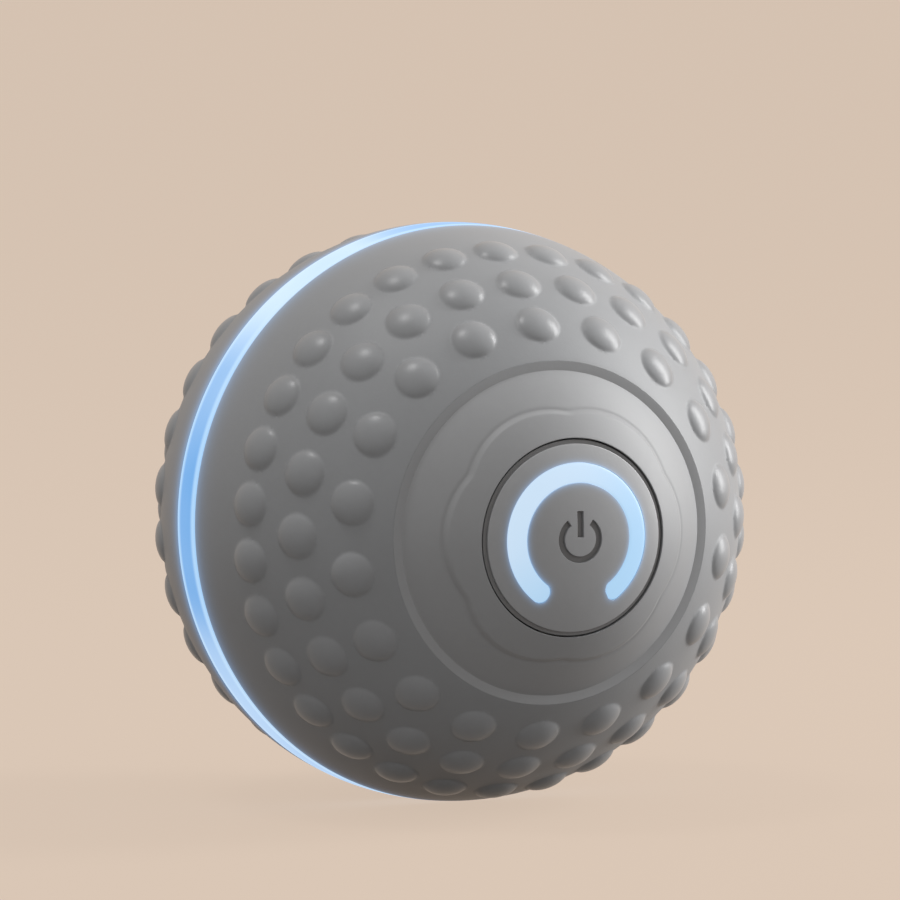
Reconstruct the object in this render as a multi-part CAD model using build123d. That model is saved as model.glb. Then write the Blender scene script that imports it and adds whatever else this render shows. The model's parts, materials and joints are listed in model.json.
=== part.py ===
from build123d import *
import os
from math import acos, atan, cos, degrees, pi, radians, sin, sqrt, tan

# A motorised ball for dogs. Two hard half shells clamp a light ring between them and wear rubber covers
# with soft bumps. A carriage hangs on journals at the two poles and carries the motor, the gears, the
# battery and a counterweight. Its last gear climbs along a ring gear inside the shell, so the ball rolls.
# Every piece is drawn with the pole axis along +Z and the button end up. It is turned when it is written,
# so that the button faces -Y, the carriage's top faces +Z and the origin is the centre of the ball.
# Lengths are millimetres and angles are degrees.

# Ball and rubber covers
ball_radius = 37.5
cover_wall = 2.0
cover_opening_radius = 22.0
cover_lip_width = 1.4
cover_lip_wall = 1.0
cover_edge_round = 0.35
bump_radius = 2.85
bump_height = 0.85
bump_counts = [30, 24, 18]
bump_latitude_shares = [0.4042, 0.6253, 0.8356]
bump_first_angles = [6, 0, 10]

# Fits between pieces
seat_fit = 0.05
edge_gap = 0.1
running_clearance = 0.06
sliding_clearance = 0.1
end_play = 0.2
free_gap = 0.3
overrun = 1.0
tiny = 0.01

# Light ring
light_width = 5.2
tongue_width = 3.0
tongue_depth = 1.55

# Hard shells
shell_wall = 1.6
pole_plate_wall = 1.8
boss_radius = 2.9
boss_setback = 0.35
boss_angles = [45, 135, 225, 315]
boss_hole_radius = 1.02
screw_radius = 1.0
screw_head_radius = 1.9
screw_head_height = 1.3
screw_reach = 6.0

# Pole caps: ledge, dome and the soft plateau with six lobes
ledge_width = 1.2
ledge_wall = 1.4
dome_rise = 6.35
dome_bulge = 0.4
cap_wall = 1.8
cap_edge_round = 0.4
plateau_height = 0.3
plateau_notch_radius = 15.6
plateau_lobe_radius = 16.5
plateau_lobe_count = 6
plateau_notch_angle = 28

# Disc at each pole: the power button in front, the charging cover behind
disc_radius = 12.5
disc_gap = 0.3
disc_step = 0.15
disc_crown = 2.5
disc_wall = 1.6
disc_edge_round = 0.5
skirt_wall = 0.6
skirt_depth = 2.6
button_travel = 0.6
press_post_radius = 2.0

# Light guide in the button
guide_inner_radius = 7.15
guide_outer_radius = 9.6
guide_opening_angle = 59
guide_tip_round = 1.1
guide_depth = 3.0
guide_fit = 0.03

# Snap legs of the button
leg_circle = 5.6
leg_wall = 1.0
leg_width = 2.4
leg_hook = 0.7
leg_hook_height = 1.0
leg_angles = [30, 150, 270]

# Bushes and hubs
disc_overhang = 0.5
bush_wall = 1.4
bush_flange_width = 2.5
bush_flange_wall = 1.0
hub_wall = 1.0
hub_flange_wall = 1.8
hub_flange_width = 3.2
hub_floor_wall = 1.4
hub_floor_drop = 6.4
board_ledge_width = 1.4
board_ledge_height = 1.0
board_wall = 1.0

# Switch and lamps under the button
switch_side = 6.0
switch_height = 3.1
plunger_radius = 1.65
plunger_depth = 0.9
lamp_side = 1.6
lamp_height = 0.9
lamp_count = 6
lamp_step_angle = 50

# Charging socket, plug and cover
socket_width = 8.9
socket_thickness = 3.2
socket_wall = 0.35
socket_tongue_width = 6.6
socket_tongue_wall = 0.7
plug_head_length = 13.0
plug_head_width = 7.0
plug_stem_length = 9.6
plug_stem_width = 3.9
plug_web = 1.0
plug_head_wall = 1.1
plug_gap = 0.3

# Gear train
ring_teeth = 60
planet_teeth = 14
wheel_teeth = 42
pinion_teeth = 14
ring_rim = 2.5
ring_seat_wall = 0.43
ring_width = 3.8
ring_shoulder_wall = 1.1
ring_shoulder_width = 1.0
wheel_width = 1.4
wheel_space = 0.4
wheel_tip_clearance = 0.18
planet_space = 2.1
addendum_share = 0.8
dedendum_share = 1.0
backlash_share = 0.14
pressure_angle = 20
axle_radius = 1.0
axle_clearance = 0.05
web_share = 0.55
planet_angle = 210
first_gear_angle = 27
motor_angle = 10

# Carriage
sweep_clearance = 0.4
deck_wall = 1.6
deck_rim = 0.1
gear_plate_clearance = 1.3
rail_spread_share = 0.623
rail_rise_share = 0.348
rail_drop_share = 0.681
rail_wall = 1.6
shelf_clearance = 0.83
post_clearance = 1.96
post_radius = 2.4
post_angles = [90, 155, 335]
hub_screw_offset = 1.6
hub_screw_angles = [90, 210, 330]
window_radius = 6.0
window_circle = 12.5
window_angles = [30, 150]
pivot_boss_radius = 1.8
pivot_boss_height = 0.3

# Motor
motor_radius = 7.75
motor_flat_height = 12.0
motor_length_share = 0.57
motor_boss_radius = 3.0
motor_boss_height = 1.2
motor_cap_length = 2.5
motor_cap_inset = 0.6
terminal_width = 2.2
terminal_wall = 0.4
terminal_length = 2.4
terminal_spread = 8.0

# Battery, weight and boards
battery_width_share = 0.476
battery_height_share = 0.2909
battery_end_gap = 4.5
battery_edge_round = 1.5
weight_clearance = 0.9
weight_end_gap = 3.0
weight_screw_share = 0.33
main_board_width = 37.0
main_board_end_gap = 2.4
chip_side = 7.0
chip_place_share = 0.66
chip_height = 1.2
plug_header_width = 6.0
plug_header_length = 3.6
plug_header_height = 3.4
ring_lamp_side = 5.0
ring_lamp_height = 1.6
ring_lamp_spread = 12.0
ring_lamp_share = 0.3416

# Heights above the ball's centre plane, worked out from the sizes above
ledge_height = sqrt(ball_radius**2 - cover_opening_radius**2)
seat_height = ledge_height - ledge_wall - cover_lip_wall - seat_fit
dome_foot_radius = cover_opening_radius - ledge_width
dome_top_radius = disc_radius + disc_gap
dome_top_height = ledge_height + dome_rise
rim_height = dome_top_height + disc_step
pole_height = rim_height + disc_crown
crown_radius = (disc_radius**2 + disc_crown**2) / (2 * disc_crown)
crown_centre = pole_height - crown_radius
inner_crown_radius = crown_radius - disc_wall
disc_underside = rim_height - disc_wall
bush_top_height = disc_underside - button_travel - free_gap
plate_inner_height = seat_height - pole_plate_wall
bush_flange_height = plate_inner_height - bush_flange_wall
hub_flange_top = bush_flange_height - end_play
deck_height = hub_flange_top - hub_flange_wall
hub_floor_height = disc_underside - hub_floor_drop
board_seat_height = hub_floor_height + board_ledge_height
board_top_height = board_seat_height + board_wall

# Radii, worked out from the sizes above
cover_inner_radius = ball_radius - cover_wall
shell_radius = cover_inner_radius - seat_fit
shell_inner_radius = shell_radius - shell_wall
boss_circle = shell_inner_radius - boss_setback - boss_radius
bay_radius = boss_circle - boss_radius - sweep_clearance
hub_radius = disc_radius - disc_overhang
hub_bore_radius = hub_radius - hub_wall
bush_inner_radius = hub_radius + running_clearance
bush_outer_radius = bush_inner_radius + bush_wall
bush_seat_radius = bush_outer_radius + seat_fit
skirt_radius = hub_bore_radius - sliding_clearance
hub_screw_circle = hub_radius + hub_screw_offset
lamp_circle = (guide_inner_radius + guide_outer_radius) / 2

# Gear sizes and places: the ring gear fits inside the screw bosses and inside the curve of the shell
planet_low = -deck_height + deck_wall + planet_space
ring_radius = min(bay_radius, sqrt(shell_inner_radius**2 - planet_low**2) - ring_seat_wall)
ring_module = 2 * (ring_radius - ring_rim) / (ring_teeth + 2 * dedendum_share)
planet_orbit = ring_module * (ring_teeth - planet_teeth) / 2
wheel_room = ring_radius - planet_orbit - wheel_tip_clearance
wheel_module = 2 * wheel_room / (wheel_teeth + 2 * addendum_share)
wheel_distance = wheel_module * (wheel_teeth + pinion_teeth) / 2
planet_high = planet_low + ring_width
second_wheel_low = planet_high + wheel_space
first_wheel_low = second_wheel_low + wheel_width + wheel_space
gear_plate_low = first_wheel_low + wheel_width + wheel_space
gear_plate_high = gear_plate_low + deck_wall


def polar(distance, angle, centre=(0, 0)):
    """A point at a distance and an angle from a centre, in the plane square to the pole axis."""
    return (
        centre[0] + distance * cos(radians(angle)),
        centre[1] + distance * sin(radians(angle)),
    )


second_axis = polar(planet_orbit, planet_angle)
first_axis = polar(wheel_distance, first_gear_angle, second_axis)
motor_axis = polar(wheel_distance, motor_angle, first_axis)

# Places in the carriage, worked out from the sizes above
inner_deck_height = deck_height - deck_wall
bay_length = inner_deck_height - gear_plate_high
gear_plate_radius = bay_radius - gear_plate_clearance
rail_place = rail_spread_share * bay_radius
rail_top = rail_rise_share * bay_radius
rail_foot = -rail_drop_share * bay_radius
post_circle = ring_module * (ring_teeth / 2 - addendum_share) - post_clearance - post_radius
deck_radius = post_circle + post_radius + deck_rim
shelf_top = motor_axis[1] - motor_flat_height / 2 - shelf_clearance
motor_length = motor_length_share * bay_length
weight_radius = bay_radius - weight_clearance
weight_high = inner_deck_height - weight_end_gap
board_top = rail_top + board_wall


def sphere_height(radius, offset):
    """How high a sphere about the centre stands at an offset from the pole axis."""
    return sqrt(radius**2 - offset**2)


def turned(*edges):
    """The solid that a closed outline of radius and height sweeps about the pole axis."""
    return revolve(Plane.XZ * make_face(Curve() + list(edges)), Axis.Z)


def turned_polygon(*points):
    """As turned, for an outline of straight lines."""
    return turned(Polyline(*points, close=True))


def rod(radius, low, high, centre=(0, 0)):
    """A round bar along the pole axis between two heights."""
    place = Pos(centre[0], centre[1], low)
    return place * Cylinder(radius, high - low, align=(Align.CENTER, Align.CENTER, Align.MIN))


def tube(outer, inner, low, high, centre=(0, 0)):
    """A round tube along the pole axis between two heights."""
    return rod(outer, low, high, centre) - rod(inner, low - overrun, high + overrun, centre)


def block(x_low, x_high, y_low, y_high, low, high):
    """A box between two corners."""
    place = Pos(x_low, y_low, low)
    return place * Box(x_high - x_low, y_high - y_low, high - low, align=Align.MIN)


def slab(length, width, low, high):
    """A bar with round ends, such as a socket or its plug, between two heights."""
    return extrude(Pos(0, 0, low) * SlotOverall(length, width), high - low)


def joined(pieces):
    """One solid from many that touch."""
    whole, *rest = pieces
    return whole.fuse(*rest) if rest else whole


def round_edges(solid, radius, height):
    """The circular edges of a turned solid at one radius and height."""
    return [
        edge
        for edge in solid.edges().filter_by(GeomType.CIRCLE)
        if abs(edge.radius - radius) < tiny and abs(edge.arc_center.Z - height) < tiny
    ]


def turned_over(solid):
    """The same piece at the other pole."""
    return Rot(0, 180, 0) * solid


# Rubber covers

def bumps():
    """The domes on one cover: balls sunk so far that each shows a cap of the named width and height."""
    ball = (bump_radius**2 + bump_height**2) / (2 * bump_height)
    centre = ball_radius + bump_height - ball
    opening_latitude = degrees(acos(cover_opening_radius / ball_radius))
    domes = []
    for count, latitude_share, first_angle in zip(bump_counts, bump_latitude_shares, bump_first_angles):
        for step in range(count):
            turn = Rot(0, 0, first_angle + 360 / count * step) * Rot(0, -latitude_share * opening_latitude, 0)
            domes.append(turn * Pos(centre, 0, 0) * Rot(0, 0, 180) * Sphere(ball))
    return domes


def rubber_cover():
    """A half cover: a bumpy skin that ends in a lip under the pole cap's ledge."""
    low = light_width / 2 + edge_gap
    lip_top = seat_height + cover_lip_wall
    lip_radius = cover_opening_radius - cover_lip_width
    edge_high = low + cover_edge_round
    outer_edge = (sphere_height(ball_radius, edge_high), edge_high)
    flat_edge = (outer_edge[0] - cover_edge_round, low)
    inner_edge = (sphere_height(cover_inner_radius, low), low)
    shoulder = (sphere_height(cover_inner_radius, seat_height), seat_height)
    top = (0, ball_radius)
    ceiling = ball_radius + overrun
    blank = turned(
        RadiusArc(outer_edge, top, -ball_radius),
        Polyline(top, (0, low), flat_edge),
        RadiusArc(flat_edge, outer_edge, -cover_edge_round),
    )
    room = turned(
        RadiusArc(inner_edge, shoulder, -cover_inner_radius),
        Polyline(shoulder, (lip_radius, seat_height), (lip_radius, lip_top), (cover_opening_radius, lip_top),
                 (cover_opening_radius, ceiling), (0, ceiling), (0, low - overrun),
                 (inner_edge[0], low - overrun), inner_edge),
    )
    return blank.fuse(*bumps()) - room


# Light ring

def light_ring():
    """A translucent band, flush with the covers, with a tongue that the two shells clamp."""
    half = light_width / 2
    tongue = tongue_width / 2
    face = sphere_height(ball_radius, half)
    step = cover_inner_radius
    bore = step - tongue_depth
    return turned(
        RadiusArc((face, -half), (face, half), -ball_radius),
        Polyline((face, half), (step, half), (step, tongue), (bore, tongue), (bore, -tongue), (step, -tongue),
                 (step, -half), (face, -half)),
    )


# Hard shells

def half_shell():
    """A hard half shell with a flat pole plate, a hole for the bush and four open screw bosses."""
    low = tongue_width / 2 + seat_fit
    outer_low = (sphere_height(shell_radius, low), low)
    inner_low = (sphere_height(shell_inner_radius, low), low)
    outer_top = (sphere_height(shell_radius, seat_height), seat_height)
    inner_top = (sphere_height(shell_inner_radius, plate_inner_height), plate_inner_height)
    wall = turned(
        RadiusArc(outer_low, outer_top, -shell_radius),
        Polyline(outer_top, (bush_seat_radius, seat_height),
                 (bush_seat_radius, plate_inner_height), inner_top),
        RadiusArc(inner_top, inner_low, shell_inner_radius),
        Line(inner_low, outer_low),
    )
    posts = [rod(boss_radius, seat_fit / 2, seat_height, polar(boss_circle, angle)) for angle in boss_angles]
    bosses = [post & Sphere(shell_radius - shell_wall / 2) for post in posts]
    return wall.fuse(*bosses)


def screw_places():
    """Where the shell screws stand."""
    return [polar(boss_circle, angle) for angle in boss_angles]


def front_shell():
    """The half on the button's side: its bosses are drilled right through and take the screw heads."""
    shell = half_shell()
    for place in screw_places():
        shell -= rod(screw_radius + sliding_clearance, -overrun, screw_reach + overrun, place)
        shell -= rod(screw_head_radius + sliding_clearance, screw_reach, ball_radius, place)
    return shell


def rear_shell():
    """The half on the charging side: blind bosses, and a collar with a shoulder that seats the ring gear."""
    shell = turned_over(half_shell())
    bore = ring_radius + seat_fit
    shoulder_high = planet_low - seat_fit
    shoulder_low = shoulder_high - ring_shoulder_wall
    shoulder_bore = bore - ring_shoulder_width
    collar = tube(ball_radius, bore, shoulder_low, planet_high)
    collar += tube(ball_radius, shoulder_bore, shoulder_low, shoulder_high)
    shell += collar & Sphere(shell_radius - shell_wall / 2)
    for place in screw_places():
        shell -= rod(boss_hole_radius, -screw_reach - overrun, overrun, place)
    return shell


def screw(seat, tip, centre):
    """A screw along the pole axis: its head lies on the far side of its seat from its tip."""
    away = 1 if seat > tip else -1
    head_low, head_high = sorted((seat, seat + away * screw_head_height))
    low, high = sorted((seat, tip))
    return rod(screw_head_radius, head_low, head_high, centre) + rod(screw_radius, low, high, centre)


def shell_screws():
    """Four screws from the front shell's bosses into the rear ones."""
    return [screw(screw_reach, -screw_reach, place) for place in screw_places()]


# Pole caps

def lobed_outline():
    """The plateau's outline: arcs that bulge between notches spaced evenly round the pole."""
    step = 360 / plateau_lobe_count
    arcs = []
    for lobe in range(plateau_lobe_count):
        start = plateau_notch_angle + lobe * step
        arcs.append(
            ThreePointArc(
                polar(plateau_notch_radius, start),
                polar(plateau_lobe_radius, start + step / 2),
                polar(plateau_notch_radius, start + step),
            )
        )
    return make_face(Curve() + arcs)


def dome_body(lift, foot):
    """Everything under the cap's dome, raised by lift, down to a foot height."""
    start = (dome_foot_radius, ledge_height + lift)
    end = (dome_top_radius, dome_top_height + lift)
    return turned(
        SagittaArc(start, end, -dome_bulge),
        Polyline(end, (dome_top_radius, foot), (dome_foot_radius, foot), start),
    )


def pole_cap():
    """The moulded cap: ledge, dome with its lobed plateau, seat for the bush and a cored-out underside."""
    ledge_radius = cover_opening_radius - seat_fit
    lip_room = cover_opening_radius - cover_lip_width - seat_fit
    lip_ceiling = seat_height + cover_lip_wall + seat_fit
    cap = dome_body(0, seat_height)
    cap += tube(ledge_radius, dome_top_radius, seat_height, ledge_height)
    cap -= tube(ball_radius, lip_room, seat_height - overrun, lip_ceiling)
    cap -= rod(bush_seat_radius, seat_height - overrun, bush_top_height + seat_fit)
    core_inner = bush_seat_radius + cap_wall
    core_outer = lip_room - cap_wall
    slope = dome_rise / (dome_foot_radius - dome_top_radius)
    core_foot = ledge_height - cap_wall
    cap -= turned_polygon(
        (core_inner, seat_height - overrun),
        (core_outer, seat_height - overrun),
        (core_outer, core_foot),
        (core_inner, core_foot + slope * (core_outer - core_inner)),
    )
    raised = dome_body(plateau_height, seat_height + cap_wall + pole_plate_wall)
    outline = extrude(Pos(0, 0, ledge_height) * lobed_outline(), pole_height)
    keep = raised & outline
    cap += keep - dome_body(-cap_wall / 2, seat_height)
    rim = round_edges(cap, dome_top_radius, dome_top_height + plateau_height)
    return fillet(rim, cap_edge_round)


# Bushes and hubs

def bush():
    """A flanged bearing sleeve between the shell and a hub, put in from inside."""
    sleeve = tube(bush_outer_radius, bush_inner_radius, bush_flange_height, bush_top_height)
    flange_radius = bush_outer_radius + bush_flange_width
    return sleeve + tube(flange_radius, bush_inner_radius, bush_flange_height, plate_inner_height)


def hub(rim):
    """A hub of the carriage: a journal up to its rim, a flange, a floor and a ledge for a round board."""
    body = rod(hub_radius, deck_height, rim)
    body += rod(hub_radius + hub_flange_width, deck_height, hub_flange_top)
    body -= rod(hub_bore_radius, hub_floor_height, rim + overrun)
    body -= rod(hub_bore_radius, deck_height - overrun, hub_floor_height - hub_floor_wall)
    body += tube(hub_radius, hub_bore_radius - board_ledge_width, hub_floor_height, board_seat_height)
    for angle in hub_screw_angles:
        body -= rod(boss_hole_radius, deck_height - overrun, hub_flange_top - tiny - free_gap,
                    polar(hub_screw_circle, angle))
    return body


def leg_slots(low, high):
    """The holes that the button's snap legs pass through."""
    slots = []
    for angle in leg_angles:
        near = leg_circle - leg_wall / 2 - free_gap
        far = leg_circle + leg_wall / 2 + leg_hook + free_gap
        half = leg_width / 2 + free_gap
        slots.append(Rot(0, 0, angle) * block(near, far, -half, half, low - overrun, high + overrun))
    return slots


def front_hub():
    """The hub that holds the button: its floor lets the snap legs through."""
    body = hub(bush_top_height)
    for slot in leg_slots(hub_floor_height - hub_floor_wall, hub_floor_height):
        body -= slot
    return body


def rear_hub():
    """The hub behind: its rim carries the charging cover."""
    return turned_over(hub(disc_underside - seat_fit))


# Button, light guide and switch

def crown(radius):
    """The ball that gives a disc its domed face, or its hollow underside."""
    return Pos(0, 0, crown_centre) * Sphere(radius)


def disc_blank(skirt_low):
    """A domed disc with a skirt that slides or seats in a hub."""
    skirt_inner = skirt_radius - skirt_wall
    hollow = (skirt_inner, crown_centre + sphere_height(inner_crown_radius, skirt_inner))
    top = (0, pole_height)
    ceiling = (0, pole_height - disc_wall)
    rim = (disc_radius, rim_height)
    disc = turned(
        RadiusArc(rim, top, -crown_radius),
        Line(top, ceiling),
        RadiusArc(ceiling, hollow, inner_crown_radius),
        Polyline(hollow, (skirt_inner, skirt_low), (skirt_radius, skirt_low), (skirt_radius, disc_underside),
                 (disc_radius, disc_underside), rim),
    )
    return fillet(round_edges(disc, *rim), disc_edge_round)


def guide_area(grow):
    """The C outline of the light guide, with rounded tips, open at the bottom."""
    inner = guide_inner_radius - grow
    outer = guide_outer_radius + grow
    half_opening = guide_opening_angle / 2 - degrees(grow / lamp_circle)
    start, sweep = half_opening - 90, 360 - 2 * half_opening
    outside = CenterArc((0, 0), outer, start, sweep)
    inside = CenterArc((0, 0), inner, start, sweep)
    sides = [outside, Line(outside @ 1, inside @ 1), inside, Line(inside @ 0, outside @ 0)]
    area = make_face(Wire(sides))
    return fillet(area.vertices(), guide_tip_round)


def power_button():
    """The disc that is pressed: a slot for the light guide, a post for the switch and three snap legs."""
    button = disc_blank(disc_underside - skirt_depth)
    button -= extrude(Pos(0, 0, disc_underside - skirt_depth) * guide_area(guide_fit), pole_height)
    plunger_top = board_top_height + switch_height + plunger_depth
    button += rod(press_post_radius, plunger_top, pole_height) & crown(crown_radius - disc_wall / 2)
    hook_top = hub_floor_height - hub_floor_wall - end_play
    inner = leg_circle - leg_wall / 2
    outer = leg_circle + leg_wall / 2
    half = leg_width / 2
    low = hook_top - leg_hook_height
    under_dome = crown(crown_radius - disc_wall / 2)
    for angle in leg_angles:
        leg = block(inner, outer, -half, half, low, pole_height) & under_dome
        leg += block(inner, outer + leg_hook, -half, half, low, hook_top)
        button += Rot(0, 0, angle) * leg
    return button


def button_light_guide():
    """The C-shaped lens, flush with the button's dome."""
    blank = extrude(Pos(0, 0, disc_underside - guide_depth + free_gap * 2) * guide_area(0), pole_height)
    return blank & crown(crown_radius)


def switch_plunger():
    """The switch's own pin, which moves with the button."""
    top = board_top_height + switch_height
    return rod(plunger_radius, top - plunger_depth, top + plunger_depth)


def switch_body():
    """A push switch on the board, with room for its pin to sink."""
    half = switch_side / 2
    top = board_top_height + switch_height
    body = block(-half, half, -half, half, board_top_height, top)
    floor = top - plunger_depth - button_travel - free_gap
    return body - rod(plunger_radius + sliding_clearance, floor, top + overrun)


def lamp_board():
    """The round board under the button."""
    board = rod(hub_bore_radius - sliding_clearance * 2, board_seat_height, board_top_height)
    for slot in leg_slots(board_seat_height, board_top_height):
        board -= slot
    return board


def button_lamps():
    """Lamps on the round board, under the light guide."""
    half = lamp_side / 2
    first = 90 - lamp_step_angle * (lamp_count - 1) / 2
    inner, outer = lamp_circle - half, lamp_circle + half
    chip = block(inner, outer, -half, half, board_top_height, board_top_height + lamp_height)
    return [Rot(0, 0, first + lamp_step_angle * lamp) * chip for lamp in range(lamp_count)]


# Charging end

def charging_cover():
    """The disc behind: fixed in the rear hub, with a recess for the plug."""
    head_floor = pole_height - plug_head_wall - disc_wall / 2
    cover = disc_blank(board_top_height)
    web = rod(skirt_radius - skirt_wall / 2, head_floor - plug_web, pole_height)
    cover += web & crown(crown_radius - disc_wall / 2)
    head_room = (plug_head_length + 2 * plug_gap, plug_head_width + 2 * plug_gap)
    stem_room = (plug_stem_length + 2 * plug_gap, plug_stem_width + 2 * plug_gap)
    cover -= slab(*head_room, head_floor, pole_height + overrun)
    cover -= slab(*stem_room, disc_underside, pole_height)
    return turned_over(cover)


def port_plug():
    """A soft stopper over the charging socket, flush with the disc."""
    head_floor = pole_height - plug_head_wall - disc_wall / 2
    head = slab(plug_head_length, plug_head_width, head_floor + seat_fit, pole_height + overrun)
    stem = slab(plug_stem_length, plug_stem_width, head_floor - plug_web, head_floor + seat_fit + tiny)
    return turned_over((head & crown(crown_radius)) + stem)


def usb_socket():
    """The charging socket: a flat metal sleeve with a tongue, on a round board in the rear hub."""
    mouth = pole_height - plug_head_wall - disc_wall / 2 - plug_web - free_gap
    sleeve = slab(socket_width, socket_thickness, board_top_height, mouth)
    bore_size = (socket_width - 2 * socket_wall, socket_thickness - 2 * socket_wall)
    bore = slab(*bore_size, board_top_height + board_wall, mouth + overrun)
    half = socket_tongue_width / 2
    wall = socket_tongue_wall / 2
    tongue = block(-half, half, -wall, wall, board_top_height, mouth - board_wall)
    return turned_over(sleeve - bore + tongue)


def charge_board():
    """The round board that carries the charging socket."""
    board = rod(hub_bore_radius - sliding_clearance * 2, board_seat_height, board_top_height - seat_fit)
    return turned_over(board)


# Gears

def involute(angle):
    """The involute function of an angle in radians."""
    return tan(angle) - angle


def flank_angle(teeth, module, radius, thinning):
    """Half the angle of an involute tooth at a radius, in degrees, thinned by thinning at the pitch line."""
    pitch = module * teeth / 2
    base = pitch * cos(radians(pressure_angle))
    reach = max(radius, base)
    slope = sqrt(reach**2 - base**2) / base
    turn = involute(radians(pressure_angle)) - (slope - atan(slope))
    return (pi / (2 * teeth) - thinning / (2 * pitch) + turn) * 180 / pi


def gear_face(teeth, module, tip, root, thinning, tooth_angle, centre=(0, 0)):
    """A toothed outline: flanks through three points of the involute, arcs at tip and root."""
    pitch = module * teeth / 2
    edges = []
    for tooth in range(teeth):
        middle = tooth_angle + 360 / teeth * tooth
        rising, falling = [], []
        for radius in (root, pitch, tip):
            half = flank_angle(teeth, module, radius, thinning)
            rising.append(polar(radius, middle - half, centre))
            falling.append(polar(radius, middle + half, centre))
        next_rise = polar(root, middle + 360 / teeth - flank_angle(teeth, module, root, thinning), centre)
        edges.append(ThreePointArc(*rising))
        edges.append(Line(rising[2], falling[2]))
        edges.append(ThreePointArc(*reversed(falling)))
        edges.append(Line(falling[0], next_rise))
    return make_face(Curve() + edges)


def toothed(teeth, module, low, high, tooth_angle, centre):
    """An external gear wheel between two heights, with a tooth at the given angle."""
    pitch = module * teeth / 2
    tip = pitch + addendum_share * module
    root = pitch - dedendum_share * module
    face = gear_face(teeth, module, tip, root, backlash_share * module, tooth_angle, centre)
    return extrude(Pos(0, 0, low) * face, high - low)


def ring_gear():
    """The internal gear in the rear shell: a ring less the outline of a gear with fuller teeth."""
    pitch = ring_module * ring_teeth / 2
    tip = pitch + dedendum_share * ring_module
    root = pitch - addendum_share * ring_module
    thickening = -backlash_share * ring_module
    space = gear_face(ring_teeth, ring_module, tip, root, thickening, planet_angle)
    hole = extrude(Pos(0, 0, planet_low - overrun) * space, ring_width + 2 * overrun)
    return rod(ring_radius, planet_low, planet_high) - hole


def lightened(wheel, low, high, centre):
    """A wheel with its web thinned from one side, between hub and rim."""
    rim = wheel_module * (wheel_teeth / 2 - 2 * dedendum_share)
    inner = wheel_module * (pinion_teeth / 2 + 2 * dedendum_share)
    return wheel - tube(rim, inner, low + (high - low) * web_share, high + overrun, centre)


def first_gear():
    """The compound gear next to the motor: a wheel that the motor drives and a pinion."""
    high = first_wheel_low + wheel_width
    half_pitch = 180 / wheel_teeth
    wheel = toothed(wheel_teeth, wheel_module, first_wheel_low, high, motor_angle + half_pitch, first_axis)
    wheel = lightened(wheel, first_wheel_low, high, first_axis)
    to_second = first_gear_angle + 180
    pinion = toothed(pinion_teeth, wheel_module, second_wheel_low, first_wheel_low, to_second, first_axis)
    gear = wheel + pinion
    return gear - rod(axle_radius + axle_clearance, second_wheel_low - overrun, high + overrun, first_axis)


def second_gear():
    """The compound gear that climbs along the ring gear: a wheel and a stout pinion."""
    high = second_wheel_low + wheel_width
    tooth_angle = first_gear_angle + 180 / wheel_teeth
    wheel = toothed(wheel_teeth, wheel_module, second_wheel_low, high, tooth_angle, second_axis)
    wheel = lightened(wheel, second_wheel_low, high, second_axis)
    gear = wheel + toothed(planet_teeth, ring_module, planet_low, second_wheel_low, planet_angle, second_axis)
    return gear - rod(axle_radius + axle_clearance, planet_low - overrun, high + overrun, second_axis)


def motor_pinion():
    """The pinion on the motor's shaft."""
    high = first_wheel_low + wheel_width
    gear = toothed(pinion_teeth, wheel_module, first_wheel_low, high, motor_angle + 180, motor_axis)
    return gear - rod(axle_radius, first_wheel_low - overrun, high + overrun, motor_axis)


def gear_axles():
    """The fixed pins that the two compound gears turn on."""
    low = -deck_height + seat_fit
    return [rod(axle_radius, low, gear_plate_high, place) for place in (first_axis, second_axis)]


# Motor

def flattened(radius, height, low, high):
    """A round bar with two flats, above and below the motor's axis."""
    half = height / 2
    x, y = motor_axis
    return rod(radius, low, high, motor_axis) & block(x - radius, x + radius, y - half, y + half, low, high)


def motor_can():
    """The motor's steel can, with the boss that centres it in the gear plate."""
    can = flattened(motor_radius, motor_flat_height, gear_plate_high, gear_plate_high + motor_length)
    can += rod(motor_boss_radius, gear_plate_high - motor_boss_height, gear_plate_high, motor_axis)
    return can - rod(axle_radius + axle_clearance, gear_plate_low - overrun,
                     gear_plate_high + motor_length + overrun, motor_axis)


def motor_end_cap():
    """The plastic cap at the motor's far end, with its two terminals."""
    low = gear_plate_high + motor_length
    high = low + motor_cap_length
    x, y = motor_axis
    cap = flattened(motor_radius - motor_cap_inset, motor_flat_height - motor_cap_inset, low, high)
    for side in (-1, 1):
        middle = x + side * terminal_spread / 2
        cap += block(middle - terminal_width / 2, middle + terminal_width / 2, y - terminal_wall / 2,
                     y + terminal_wall / 2, high - tiny, high + terminal_length)
    return cap - rod(axle_radius + axle_clearance, low - overrun, low + motor_cap_length / 2, motor_axis)


def motor_shaft():
    """The rotor's shaft, from the far bearing to the pinion's outer face."""
    high = gear_plate_high + motor_length + motor_cap_length / 2 - free_gap
    return rod(axle_radius, first_wheel_low, high, motor_axis)


# Carriage

def rail_blocks(top, high):
    """The two side rails of the frame, from their feet up to a top, between the gear plate and a height."""
    half = rail_wall / 2
    return [
        block(side * rail_place - half, side * rail_place + half, rail_foot, top, gear_plate_high, high)
        for side in (-1, 1)
    ]


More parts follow.
